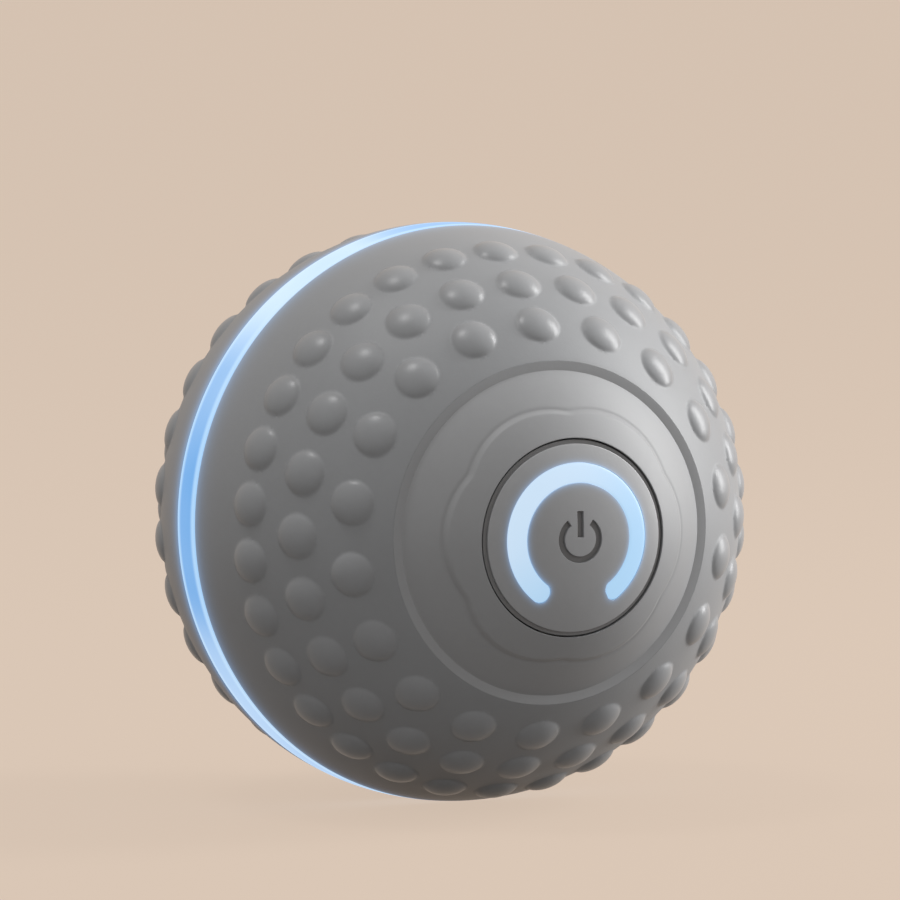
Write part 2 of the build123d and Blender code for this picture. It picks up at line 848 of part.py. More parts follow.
def chassis():
    """The frame: a front deck, a gear plate, two rails, a shelf between, and posts for the gearbox cover."""
    low, high = gear_plate_low - overrun, deck_height + overrun
    front_deck = rod(deck_radius, inner_deck_height, deck_height)
    gear_plate = rod(gear_plate_radius, gear_plate_low, gear_plate_high)
    rails = [rail & rod(deck_radius, gear_plate_high, inner_deck_height)
             for rail in rail_blocks(rail_top, inner_deck_height)]
    shelf_low = shelf_top - rail_wall
    shelf = block(-rail_place, rail_place, shelf_low, shelf_top, gear_plate_high, inner_deck_height)
    frame = joined([front_deck, gear_plate, *rails, *rail_blocks(shelf_top, weight_high), shelf])
    for angle in post_angles:
        place = polar(post_circle, angle)
        frame += rod(post_radius, -inner_deck_height, gear_plate_low, place)
        frame -= rod(boss_hole_radius, -deck_height, gear_plate_low, place)
    for place in (first_axis, second_axis):
        frame += rod(pivot_boss_radius, gear_plate_low - pivot_boss_height, gear_plate_low, place)
        frame -= rod(axle_radius + seat_fit, low, gear_plate_high + overrun, place)
    frame -= rod(motor_boss_radius + seat_fit, low, gear_plate_high + overrun, motor_axis)
    frame -= rod(hub_bore_radius - board_ledge_width, inner_deck_height - overrun, high)
    for angle in hub_screw_angles:
        place = polar(hub_screw_circle, angle)
        frame -= rod(screw_radius + seat_fit, inner_deck_height - overrun, high, place)
    for place in weight_screw_places():
        frame -= rod(screw_radius + seat_fit, low, gear_plate_high + overrun, place)
    for angle in window_angles:
        frame -= rod(window_radius, low, gear_plate_high + overrun, polar(window_circle, angle))
    return frame


def gearbox_cover():
    """The rear deck: it closes the gearbox and holds the outer ends of the axles."""
    low, high = -deck_height, -inner_deck_height
    cover = rod(deck_radius, low, high)
    for place in (first_axis, second_axis):
        cover -= rod(axle_radius + seat_fit, low - overrun, high + overrun, place)
    screws = [polar(post_circle, angle) for angle in post_angles]
    screws += [polar(hub_screw_circle, angle) for angle in hub_screw_angles]
    for place in screws:
        cover -= rod(screw_radius + seat_fit, low - overrun, high + overrun, place)
    return cover


def weight_screw_places():
    """Where two screws hold the counterweight to the gear plate, half way down its end."""
    return [(side * weight_screw_share * bay_radius, (rail_foot - weight_radius) / 2) for side in (-1, 1)]


def chassis_screws():
    """The screws of the carriage: hubs to decks, gearbox cover to posts, and the counterweight."""
    screws = []
    for angle in hub_screw_angles:
        place = polar(hub_screw_circle, angle)
        tip = hub_flange_top - 2 * free_gap
        screws.append(screw(inner_deck_height, tip, place))
        screws.append(screw(-inner_deck_height, -tip, place))
    for angle in post_angles:
        screws.append(screw(-deck_height, gear_plate_low - 2 * overrun, polar(post_circle, angle)))
    for place in weight_screw_places():
        screws.append(screw(gear_plate_low, gear_plate_high + screw_reach - overrun, place))
    return screws


def counterweight():
    """A steel bar in the shape of a round segment under the battery."""
    bar = rod(weight_radius, gear_plate_high, weight_high)
    top = rail_foot - seat_fit
    bar &= block(-weight_radius, weight_radius, -weight_radius, top, gear_plate_high, weight_high)
    for place in weight_screw_places():
        bar -= rod(boss_hole_radius, gear_plate_high - overrun, gear_plate_high + screw_reach, place)
    return bar


def battery():
    """A soft-edged lithium cell between the shelf and the counterweight."""
    half = battery_width_share * bay_radius
    high = min(rail_foot + battery_height_share * bay_radius, shelf_top - rail_wall - seat_fit)
    front = inner_deck_height - battery_end_gap
    cell = block(-half, half, rail_foot, high, gear_plate_high + seat_fit, front)
    return fillet(cell.edges().filter_by(Axis.Z), battery_edge_round)


def main_board():
    """The control board on the rails, with a chip under it and a plug header on it."""
    half = main_board_width / 2
    low = gear_plate_high + sliding_clearance
    high = inner_deck_height - main_board_end_gap
    board = block(-half, half, rail_top, board_top, low, high)
    chip = chip_side / 2
    chip_place = low + chip_place_share * (high - low)
    board += block(-chip, chip, rail_top - chip_height, rail_top, chip_place - chip, chip_place + chip)
    header_high = high - board_wall
    board += block(half - plug_header_width - board_wall, half - board_wall, board_top,
                   board_top + plug_header_height, header_high - plug_header_length, header_high)
    return board


def ring_lamps():
    """Lamps on the control board, in the plane of the light ring."""
    half = ring_lamp_side / 2
    place = gear_plate_high + ring_lamp_share * (inner_deck_height - main_board_end_gap - gear_plate_high)
    return [
        block(step * ring_lamp_spread - half, step * ring_lamp_spread + half, board_top,
              board_top + ring_lamp_height, place - half, place + half)
        for step in (-1, 0, 1)
    ]


# Every piece by the name of its file

pieces = {
    "front_cover": rubber_cover(),
    "rear_cover": turned_over(rubber_cover()),
    "light_ring": light_ring(),
    "front_shell": front_shell(),
    "rear_shell": rear_shell(),
    "shell_screws": shell_screws(),
    "front_pole_cap": pole_cap(),
    "rear_pole_cap": turned_over(pole_cap()),
    "front_bush": bush(),
    "rear_bush": turned_over(bush()),
    "ring_gear": ring_gear(),
    "front_hub": front_hub(),
    "rear_hub": rear_hub(),
    "power_button": power_button(),
    "button_light_guide": button_light_guide(),
    "switch_plunger": switch_plunger(),
    "switch_body": switch_body(),
    "lamp_board": lamp_board(),
    "button_lamps": button_lamps(),
    "charging_cover": charging_cover(),
    "port_plug": port_plug(),
    "usb_socket": usb_socket(),
    "charge_board": charge_board(),
    "chassis": chassis(),
    "gearbox_cover": gearbox_cover(),
    "gear_axles": gear_axles(),
    "chassis_screws": chassis_screws(),
    "first_gear": first_gear(),
    "second_gear": second_gear(),
    "motor_pinion": motor_pinion(),
    "motor_shaft": motor_shaft(),
    "motor_can": motor_can(),
    "motor_end_cap": motor_end_cap(),
    "battery": battery(),
    "counterweight": counterweight(),
    "main_board": main_board(),
    "ring_lamps": ring_lamps(),
}

os.makedirs("parts", exist_ok=True)
upright = Rot(90, 0, 0)
for name, piece in pieces.items():
    solids = piece if isinstance(piece, list) else piece.solids()
    stood = [upright * solid for solid in solids]
    export_step(stood[0] if len(stood) == 1 else Compound(children=stood), f"parts/{name}.step")
    print(name, len(stood), round(sum(solid.volume for solid in stood)))
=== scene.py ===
"""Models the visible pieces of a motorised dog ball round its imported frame, and finishes every piece.

Pieces are drawn in metres with the pole axis upwards, as (x, y, height), and turned when they are placed:
the button end then faces -Y, the charging end +Y, and what was drawn as y points up.
"""

import json
from math import acos, asin, cos, hypot, pi, radians, sin, sqrt

import bpy
import numpy as np
from bpy.props import FloatProperty, FloatVectorProperty, IntProperty, PointerProperty
from bpy.types import NodeSocket, Operator, Panel, PropertyGroup
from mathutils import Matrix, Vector

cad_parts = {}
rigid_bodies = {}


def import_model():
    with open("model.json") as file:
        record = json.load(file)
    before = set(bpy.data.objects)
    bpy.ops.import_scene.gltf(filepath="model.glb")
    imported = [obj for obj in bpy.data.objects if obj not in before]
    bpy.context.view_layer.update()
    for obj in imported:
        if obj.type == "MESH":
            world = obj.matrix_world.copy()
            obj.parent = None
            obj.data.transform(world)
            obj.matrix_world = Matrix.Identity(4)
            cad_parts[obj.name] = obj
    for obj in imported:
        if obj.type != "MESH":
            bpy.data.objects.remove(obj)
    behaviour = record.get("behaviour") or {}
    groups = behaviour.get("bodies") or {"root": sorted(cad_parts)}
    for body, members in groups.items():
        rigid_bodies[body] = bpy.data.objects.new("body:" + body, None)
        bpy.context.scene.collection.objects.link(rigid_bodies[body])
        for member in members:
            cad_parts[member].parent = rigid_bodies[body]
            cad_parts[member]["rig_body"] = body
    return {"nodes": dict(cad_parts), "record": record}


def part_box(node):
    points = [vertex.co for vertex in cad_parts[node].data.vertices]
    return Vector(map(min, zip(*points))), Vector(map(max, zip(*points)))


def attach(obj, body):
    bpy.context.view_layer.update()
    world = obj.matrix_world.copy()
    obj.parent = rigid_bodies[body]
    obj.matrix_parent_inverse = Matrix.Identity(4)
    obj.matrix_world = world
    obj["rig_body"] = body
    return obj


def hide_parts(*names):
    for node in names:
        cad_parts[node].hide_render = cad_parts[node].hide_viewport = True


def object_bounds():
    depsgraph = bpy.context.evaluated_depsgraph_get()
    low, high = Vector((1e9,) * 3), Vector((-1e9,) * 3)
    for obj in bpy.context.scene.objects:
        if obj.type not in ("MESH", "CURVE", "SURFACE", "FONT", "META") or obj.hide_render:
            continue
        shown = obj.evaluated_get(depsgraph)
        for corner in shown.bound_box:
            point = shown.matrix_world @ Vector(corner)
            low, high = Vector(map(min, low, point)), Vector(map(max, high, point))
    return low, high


bl_info = {
    "name": "Dog ball",
    "version": (1, 0, 0),
    "blender": (4, 5, 0),
    "location": "3D View > Sidebar > Dog ball",
    "description": "Models and finishes the pieces of a motorised dog ball",
    "category": "Object",
}

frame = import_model()
cad_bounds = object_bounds()
slot_of = {part["node"]: part["material_slot"] for part in frame["record"]["subparts"]}

MM = 0.001
BALL_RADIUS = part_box("light_ring")[1].z
SEAM_HEIGHT = -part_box("front_cover")[1].y
BAND_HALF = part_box("light_ring")[1].y
DISC_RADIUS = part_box("power_button")[1].x
POLE_HEIGHT = -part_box("power_button")[0].y
FLOOR_HEIGHT = cad_bounds[0].z


# Properties

def length(name, words, value):
    """A size in metres, which the panel shows in the scene's unit."""
    return FloatProperty(name=name, description=words, default=value, min=0, unit="LENGTH", precision=5)


def turn(name, words, value):
    """An angle, written here in degrees."""
    return FloatProperty(name=name, description=words, default=radians(value), subtype="ANGLE")


def share(name, words, value):
    """A part of a whole, from 0 to 1."""
    return FloatProperty(name=name, description=words, default=value, min=0, max=1, subtype="FACTOR")


def level(name, words, value):
    """A plain strength or brightness."""
    return FloatProperty(name=name, description=words, default=value, min=0)


def colour(name, words, value):
    """A colour in linear light."""
    return FloatVectorProperty(
        name=name, description=words, default=value, size=3, min=0, max=1, subtype="COLOR",
    )


class CoverSizes(PropertyGroup):
    """Sizes of the rubber covers."""

    radius: length("Radius", "Radius of a cover between its bumps", BALL_RADIUS)
    seam: length("Seam height", "Height of a cover's edge beside the light ring", SEAM_HEIGHT)
    wall: length("Wall", "Thickness of the rubber", 2.0 * MM)
    opening: length("Opening", "Radius of the hole that the pole cap fills", 22.0 * MM)
    lip_width: length("Lip width", "How far the lip reaches under the cap's ledge", 1.4 * MM)
    lip_wall: length("Lip wall", "Thickness of the lip", 1.0 * MM)
    edge_round: length("Edge round", "Rounding of the edge beside the light ring", 0.35 * MM)
    mouth_round: length("Mouth round", "Rounding of the edge round the pole cap", 0.05 * MM)
    bump_radius: length("Bump radius", "Radius of a middle bump where it meets the ball", 2.85 * MM)
    bump_height: length("Bump height", "How far a bump stands out", 0.85 * MM)
    bump_foot: length("Bump foot", "Softness of the fillet round a bump", 0.03 * MM)
    bump_fullness: share(
        "Bump fullness", "Power of a bump's section: 1 is a plain cap and 0.5 half an egg", 0.7,
    )
    columns: IntProperty(name="Columns", description="Faces round a cover", default=720, min=72)


class CapSizes(PropertyGroup):
    """Sizes of the pole caps."""

    ledge_width: length("Ledge width", "Width of the flat ring round the dome", 1.2 * MM)
    ledge_wall: length("Ledge wall", "Thickness of the cap at its ledge", 1.4 * MM)
    dome_rise: length("Dome rise", "Height of the dome over the ledge", 6.25 * MM)
    dome_bulge: length("Dome bulge", "How far the dome's side swells beyond a straight cone", 0.4 * MM)
    wall: length("Wall", "Thickness of the cap's walls", 1.8 * MM)
    plateau: length("Plateau", "Height of the lobed plateau on the dome", 0.4 * MM)
    plateau_edge: length("Plateau edge", "Width of the soft step round the plateau", 0.5 * MM)
    groove: length("Groove", "Depth of the fine groove round the plateau", 0.09 * MM)
    groove_width: length("Groove width", "Half width of the groove round the plateau", 0.26 * MM)
    notch_radius: length("Notch radius", "Radius of the plateau between two lobes", 15.5 * MM)
    lobe_radius: length("Lobe radius", "Radius of the plateau at a lobe", 16.5 * MM)
    notch_angle: turn("Notch angle", "Where the first notch lies round the pole", 28)
    lobes: IntProperty(name="Lobes", description="Number of lobes of the plateau", default=6, min=2)
    rim_round: length("Rim round", "Rounding of the rim round the disc", 0.14 * MM)
    ledge_round: length("Ledge round", "Rounding of the ledge's outer edge", 0.03 * MM)


class DiscSizes(PropertyGroup):
    """Sizes of the disc at each pole: the button in front and the charging cover behind."""

    radius: length("Radius", "Radius of the disc", DISC_RADIUS)
    pole: length("Pole height", "Height of the disc's middle over the ball's centre", POLE_HEIGHT)
    gap: length("Gap", "Gap between the disc and the cap", 0.2 * MM)
    crown: length("Crown", "How far the disc's middle stands over its rim", 2.4 * MM)
    fullness: share(
        "Fullness", "How much of the crown is the fourth power's, which is flatter in the middle", 0.25,
    )
    wall: length("Wall", "Thickness of the disc", 1.6 * MM)
    rebate: length("Rebate", "Width of the rebate round the disc's face", 0.5 * MM)
    rebate_depth: length("Rebate depth", "Depth of the rebate round the disc's face", 0.42 * MM)
    rebate_round: length("Rebate round", "Rounding of the rebate's edges", 0.08 * MM)
    skirt_radius: length("Skirt radius", "Radius of the skirt under the disc", 10.9 * MM)
    skirt_wall: length("Skirt wall", "Thickness of the skirt", 0.6 * MM)
    skirt_depth: length("Skirt depth", "How far the button's skirt hangs under the disc", 2.6 * MM)


class ButtonSizes(PropertyGroup):
    """Sizes of the light guide, the power symbol and the legs of the button."""

    guide_inner: length("Guide inner radius", "Inner radius of the C-shaped light", 7.15 * MM)
    guide_outer: length("Guide outer radius", "Outer radius of the C-shaped light", 9.68 * MM)
    guide_opening: turn("Guide opening", "Angle between the two tips of the C", 59)
    guide_corner: length("Guide corner", "Rounding of the corners of the C's tips", 1.1 * MM)
    guide_depth: length("Guide depth", "Thickness of the light guide", 1.2 * MM)
    symbol_radius: length("Symbol radius", "Radius of the middle of the power symbol's ring", 2.6 * MM)
    symbol_line: length("Symbol line", "Width of the power symbol's lines", 0.8 * MM)
    symbol_opening: turn("Symbol opening", "Angle of the gap in the symbol's ring", 72)
    bar_low: length("Bar foot", "Where the symbol's bar starts over the middle", 0.3 * MM)
    bar_high: length("Bar top", "Where the symbol's bar ends", 3.55 * MM)
    symbol_depth: length("Symbol depth", "How deep the symbol is sunk", 0.45 * MM)
    post_radius: length("Post radius", "Radius of the post that presses the switch", 2.0 * MM)
    post_foot: length("Post foot", "Height of the post's lower end", 34.87 * MM)
    leg_circle: length("Leg circle", "How far the snap legs stand from the middle", 5.6 * MM)
    leg_wall: length("Leg wall", "Thickness of a snap leg", 1.0 * MM)
    leg_width: length("Leg width", "Width of a snap leg", 2.4 * MM)
    leg_hook: length("Leg hook", "How far a leg's hook reaches out", 0.7 * MM)
    leg_foot: length("Leg foot", "Height of a leg's lower end", 26.17 * MM)
    hook_height: length("Hook height", "Height of a leg's hook", 1.0 * MM)


class PlugSizes(PropertyGroup):
    """Sizes of the charging end."""

    head_length: length("Head length", "Length of the stopper's head", 13.0 * MM)
    head_width: length("Head width", "Width of the stopper's head", 7.0 * MM)
    head_wall: length("Head wall", "Depth of the recess under the disc's middle", 1.9 * MM)
    stem_length: length("Stem length", "Length of the stopper's stem", 9.6 * MM)
    stem_width: length("Stem width", "Width of the stopper's stem", 3.9 * MM)
    web: length("Web", "Thickness of the floor under the stopper's head", 1.0 * MM)
    gap: length("Gap", "Gap round the stopper", 0.3 * MM)
    skirt_foot: length("Skirt foot", "Height of the charging cover's lower edge", 30.87 * MM)
    groove: length("Grip groove", "Depth of the finger groove across the stopper", 0.25 * MM)


class Finishes(PropertyGroup):
    """Colours of the pieces that show."""

    rubber: colour("Rubber", "Colour of the covers", (0.302, 0.309, 0.319))
    cap: colour("Cap", "Colour of the pole caps", (0.362, 0.368, 0.378))
    disc: colour("Disc", "Colour of the button and the charging disc", (0.388, 0.393, 0.403))
    band_core: colour("Band core", "Glow along the middle of the light ring", (0.10, 0.34, 0.71))
    band_edge: colour("Band edge", "Glow along the edges of the light ring", (0.36, 0.60, 0.87))
    band_pale: colour("Band high glow", "Glow of the ring's palest part", (0.56, 0.73, 0.90))
    guide_core: colour("Guide glow", "Glow of the C-shaped light", (0.36, 0.575, 0.785))
    guide_pale: colour("Guide high glow", "Glow of the C-shaped light's palest part", (0.55, 0.69, 0.83))
    halo: colour("Halo", "Light that spills from the lit pieces into their neighbours", (0.07, 0.17, 0.33))


class StageSettings(PropertyGroup):
    """Camera, lamps and backdrop."""

    azimuth: turn("Azimuth", "Where the camera stands round the ball", -24.9)
    elevation: turn("Elevation", "How high the camera stands", 5.45)
    distance: length("Distance", "From the camera to the ball", 1.6)
    lens: FloatProperty(name="Lens", description="Focal length", default=494.1, min=1, unit="CAMERA")
    rise: length("Rise", "How far the camera's aim passes over the ball's centre", 7.95 * MM)
    key: level("Key", "Power of the tall lamp at the right in watts", 5.7)
    key_width: length("Key width", "Width of the tall lamp", 0.2)
    key_height: length("Key height", "Height of the tall lamp", 0.65)
    top: level("Top", "Power of the small lamp above in watts", 1.2)
    sky: level("Sky", "Strength of the light from all round", 0.57)
    backdrop: colour("Backdrop", "Colour of floor and backdrop", (0.669, 0.544, 0.445))


class DogBall(PropertyGroup):
    """Everything that a user may change."""

    covers: PointerProperty(type=CoverSizes)
    caps: PointerProperty(type=CapSizes)
    disc: PointerProperty(type=DiscSizes)
    button: PointerProperty(type=ButtonSizes)
    plug: PointerProperty(type=PlugSizes)
    finishes: PointerProperty(type=Finishes)
    stage: PointerProperty(type=StageSettings)


# Rows of bumps: how many, share of the way to the opening, first angle and size beside the middle row's
BUMP_ROWS = ((30, 0.4042, 6.0, 0.98), (24, 0.6253, 0.0, 1.0), (18, 0.8356, 10.0, 1.0))

# Where the button's snap legs stand round the pole, in degrees
LEG_ANGLES = (30, 150, 270)

# How pale the light ring glows at shares of its height, from its foot to its top
BAND_STOPS = (
    (0, 0.45), (0.12, 0.58), (0.25, 0.5), (0.4, 0.05), (0.58, 0),
    (0.75, 0.3), (0.88, 1), (0.96, 0.9), (1, 0.2),
)

# Clearance where two pieces touch, and the seat in the cap for the bush
FIT = 0.05 * MM
CAP_SEAT_RADIUS = 13.51 * MM
CAP_SEAT_TOP = 34.42 * MM

# Half width of the steep side of a sunk outline
STEP = 0.03 * MM

# Rounding of the edge round the stopper's recess and of the light ring's edges
SMALL_BEVEL = 0.18 * MM

# How dark the painted shade is at the marked places, from 0 to 1: the dome beside its ledge, the groove on
# it, the rebate round a disc and the middle of the power symbol's lines
DOME_SHADE = 0.15
GROOVE_SHADE = 0.1
REBATE_SHADE = 0.7
SYMBOL_SHADE = 0.75

# Faces round the turned pieces, round the charging end and round the button's post
COLUMNS = 480
SLOT_COLUMNS = 360
POST_COLUMNS = 48

# Rows of a cover's outer face, how much closer they stand at the bumps, and how far past a bump's edge
COVER_ROWS = 112
BUMP_CLOSENESS = 4
BUMP_REACH = 1.06

# Rows of the button's face: over the symbol, up to the light guide, over it and beyond it
FACE_ROWS = (62, 12, 24, 18)

# Angle in degrees past which an edge shows as sharp
SHARP_ANGLE = 35

# Roughness of the inner pieces by the finish that the record gives
FINISH_ROUGHNESS = {"gloss": 0.2, "satin": 0.38, "matte": 0.55}

# The paper's tone in the light that falls on the ball, its glow for the camera, and the share of that glow
PAPER_TONE = (0.165, 0.165, 0.165)
PAPER_GLOW = 1.04
PAPER_SHARE = 0.9
SENSOR_WIDTH = 36


# Outlines

def soft_corner(start, corner, end, steps=5):
    """The curve (1-t)² start + 2t(1-t) corner + t² end, which leaves and arrives along the corner's sides."""
    t = np.linspace(0, 1, steps)[:, None]
    return (1 - t) ** 2 * np.array(start) + 2 * t * (1 - t) * np.array(corner) + t**2 * np.array(end)


def arc_points(centre, radius, first, last, steps):
    """Points of a circle round (radius, height) from one angle to another."""
    angle = np.linspace(first, last, steps)
    return np.stack([centre[0] + radius * np.cos(angle), centre[1] + radius * np.sin(angle)], axis=1)


def smooth_step(low, high, value):
    """0 below low, 1 above high, and 3s² - 2s³ of the share s between them."""
    s = np.clip((value - low) / (high - low), 0, 1)
    return s * s * (3 - 2 * s)


# Surfaces

def carried_round(radius, height, angle):
    """Points at a radius and a height in each direction a: x = r cos a, y = r sin a, height as drawn."""
    radius, height, angle = np.broadcast_arrays(radius, height, angle)
    return np.stack([radius * np.cos(angle), radius * np.sin(angle), height], axis=-1)


def turned(outline, columns=COLUMNS):
    """An outline of (radius, height) carried once round the pole axis."""
    outline = np.asarray(outline)
    return carried_round(outline[:, :1], outline[:, 1:], np.arange(columns) * 2 * pi / columns)


def closed_surface(grid, joined=False):
    """Points and faces of a rows by columns grid. Columns always join up. Rows join up too, or else the
    first and the last row are closed by fans round their middles. The faces are turned to point outwards."""
    rows, columns = grid.shape[:2]
    points = grid.reshape(-1, 3)
    low = np.arange(rows if joined else rows - 1)[:, None] * columns
    high = (low + columns) % (rows * columns)
    left = np.arange(columns)[None, :]
    right = (left + 1) % columns
    quads = np.stack([low + left, low + right, high + right, high + left], axis=2).reshape(-1, 4)
    fans = np.zeros((0, 3), int)
    if not joined:
        last = (rows - 1) * columns
        middle = np.full(columns, rows * columns)
        fans = np.concatenate([
            np.stack([right[0], left[0], middle], axis=1),
            np.stack([last + left[0], last + right[0], middle + 1], axis=1),
        ])
        points = np.concatenate([points, grid[[0, -1]].mean(axis=1)])
    corners = np.concatenate([quads[:, [0, 1, 2]], quads[:, [0, 2, 3]], fans])
    a, b, c = (points[corners[:, side]] for side in range(3))
    if np.einsum("ij,ij->", a, np.cross(b, c)) < 0:
        quads, fans = quads[:, ::-1], fans[:, ::-1]
    return points, quads, fans


def upright(points, behind):
    """Turns (x, y, height) to the frame: (x, -height, y) in front and (-x, height, y) behind."""
    x, y, height = points.T
    return np.stack([-x, height, y] if behind else [x, -height, y], axis=1)


def add_object(name, data):
    """A new object in the scene."""
    made = bpy.data.objects.new(name, data)
    bpy.context.scene.collection.objects.link(made)
    return made


def make_piece(name, surfaces, behind=False, marks=None):
    """One object at the origin from closed surfaces, with smooth shading but for its sharp edges. Marks are
    named values at each point, which its material reads."""
    points, quads, fans, start = [], [], [], 0
    for part_points, part_quads, part_fans in surfaces:
        points.append(part_points)
        quads.append(part_quads + start)
        fans.append(part_fans + start)
        start += len(part_points)
    points, quads, fans = np.concatenate(points), np.concatenate(quads), np.concatenate(fans)
    corners = np.concatenate([quads.ravel(), fans.ravel()])
    starts = np.concatenate([np.arange(len(quads)) * 4, len(quads) * 4 + np.arange(len(fans)) * 3])
    mesh = bpy.data.meshes.new(name)
    mesh.vertices.add(len(points))
    mesh.vertices.foreach_set("co", upright(points, behind).astype(np.float32).ravel())
    mesh.loops.add(len(corners))
    mesh.loops.foreach_set("vertex_index", corners.astype(np.int32))
    mesh.polygons.add(len(starts))
    mesh.polygons.foreach_set("loop_start", starts.astype(np.int32))
    mesh.update(calc_edges=True)
    if mesh.validate():
        raise ValueError(f"{name} has faces that aren't sound")
    for label, values in (marks or {}).items():
        mark = mesh.attributes.new(label, "FLOAT", "POINT")
        mark.data.foreach_set("value", values.astype(np.float32))
    mesh.shade_smooth()
    mesh.set_sharp_from_angle(angle=radians(SHARP_ANGLE))
    return add_object(name, mesh)


def place_piece(piece, node, material):
    """Puts a piece in a CAD node's stead, on the same body, with the material given."""
    piece.data.materials.append(material)
    body = frame["nodes"][node]["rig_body"]
    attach(piece, body)
    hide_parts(node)


def make_pair(names, nodes, grid, marks, material):
    """The same ring-shaped piece in front and behind, each in its own node's stead."""
    surface = closed_surface(grid, joined=True)
    for name, node, behind in zip(names, nodes, (False, True)):
        place_piece(make_piece(name, [surface], behind, marks), node, material)


# Rubber covers

def ledge_height(covers):
    """Height at which the ball's surface meets the opening."""
    return sqrt(covers.radius**2 - covers.opening**2)


def seat_height(covers, caps):
    """Height of the lip's underside, where the cap ends too."""
    return ledge_height(covers) - caps.ledge_wall - covers.lip_wall - FIT


def bump_field(covers, longitude, latitude):
    """How far the bumps stand out of the ball. With d the distance from the middle of the nearest bump in its
    row and r the bump's radius, each is c = h s |s|^(p - 1) of s = 1 - (d/r)², and (c + sqrt(c² + f²)) / 2
    gives it a soft foot f."""
    top = acos(covers.opening / covers.radius)
    field = 0
    for count, latitude_share, first, size in BUMP_ROWS:
        pitch = 2 * pi / count
        away = (longitude - radians(first) + pitch / 2) % pitch - pitch / 2
        distance = covers.radius / size * np.hypot(away * np.cos(latitude), latitude - latitude_share * top)
        s = 1 - (distance / covers.bump_radius) ** 2
        cap = covers.bump_height * np.sign(s) * np.abs(s) ** covers.bump_fullness
        field = field + (cap + np.hypot(cap, covers.bump_foot)) / 2
    return field


def cover_latitudes(covers, first, last):
    """Latitudes of the outer rows, closer together where there are bumps: even steps of the running sum of a
    density that is 1, or more within reach of a row of bumps."""
    samples = 4000
    fine = np.linspace(first, last, samples)
    top = acos(covers.opening / covers.radius)
    density = np.ones_like(fine)
    for _, latitude_share, _, size in BUMP_ROWS:
        reach = BUMP_REACH * size * covers.bump_radius / covers.radius
        density[np.abs(fine - latitude_share * top) < reach] = BUMP_CLOSENESS
    run = np.cumsum(density)
    return np.interp(np.linspace(run[0], run[-1], COVER_ROWS), run, fine)


def cover_surface(covers, caps):
    """The cover's section carried round the pole axis, with the bumps added along the ball's normal on the
    rows of its outer face: point = (R + bump) (cos b cos a, cos b sin a, sin b)."""
    edge, mouth_edge = covers.edge_round, covers.mouth_round
    radius, inner = covers.radius, covers.radius - covers.wall
    ledge, seat = ledge_height(covers), seat_height(covers, caps)
    seam_latitude = asin((covers.seam + edge) / radius)
    top_latitude = acos((covers.opening + mouth_edge) / radius)
    latitude = cover_latitudes(covers, seam_latitude, top_latitude)
    outer = np.stack([radius * np.cos(latitude), radius * np.sin(latitude)], axis=1)
    seam_corner = (sqrt(radius**2 - covers.seam**2), covers.seam)
    foot = soft_corner((outer[0][0] - edge, covers.seam), seam_corner, outer[0])[:-1]
    mouth = soft_corner(outer[-1], (covers.opening, ledge), (covers.opening, ledge - mouth_edge))[1:]
    lip_top = seat + covers.lip_wall
    lip_radius = covers.opening - covers.lip_width
    shoulder = asin(seat / inner)
    inside = arc_points((0, 0), inner, shoulder, asin(covers.seam / inner), steps=8)
    section = np.concatenate([
        foot, outer, mouth,
        [(covers.opening, lip_top), (lip_radius, lip_top), (lip_radius, seat)],
        inside,
    ])
    grid = turned(section, covers.columns)
    longitude = np.arange(covers.columns)[None, :] * 2 * pi / covers.columns
    rise = np.zeros(grid.shape[:2])
    rows = slice(len(foot), len(foot) + len(outer))
    rise[rows] = bump_field(covers, longitude, latitude[:, None])
    grid[rows] *= 1 + rise[rows][:, :, None] / radius
    return grid, rise


def make_covers(ball):
    """Both rubber covers."""
    grid, rise = cover_surface(ball.covers, ball.caps)
    crown = (rise / ball.covers.bump_height).ravel()
    rubber = rubber_material(ball.finishes, ball.covers.seam)
    names, nodes = ("front_rubber_cover", "rear_rubber_cover"), ("front_cover", "rear_cover")
    make_pair(names, nodes, grid, {"crown": crown}, rubber)


# Light ring

def make_light_ring(ball):
    """The band between the covers: a face of the ball's radius with soft edges, and a tongue behind it."""
    covers = ball.covers
    half, edge = BAND_HALF, SMALL_BEVEL
    tongue, tongue_depth = 1.5 * MM, 1.55 * MM
    step = covers.radius - covers.wall
    bore = step - tongue_depth
    lean = asin((half - edge) / covers.radius)
    face = arc_points((0, 0), covers.radius, -lean, lean, steps=9)
    corner = (sqrt(covers.radius**2 - half**2), half)
    high = soft_corner(face[-1], corner, (corner[0] - edge, half))[1:]
    low = (high * (1, -1))[::-1]
    section = np.concatenate([
        low, face, high,
        [(step, half), (step, tongue), (bore, tongue), (bore, -tongue), (step, -tongue), (step, -half)],
    ])
    piece = make_piece("glowing_ring", [closed_surface(turned(section), joined=True)])
    place_piece(piece, "light_ring", band_material(ball.finishes))


# Pole caps

def lobed_radius(caps, angle):
    """The plateau's outline: the notch radius plus the lobes' reach times sqrt(s² + e) to the power p, where
    s is |sin(n (a - a0) / 2)|. A power under one makes lobes broad and notches narrow, and e rounds the
    notches."""
    swell = np.abs(np.sin(caps.lobes * (angle - caps.notch_angle) / 2))
    notch_softness, power = 0.01, 0.8
    reach = caps.lobe_radius - caps.notch_radius
    return caps.notch_radius + reach * np.sqrt(swell**2 + notch_softness) ** power


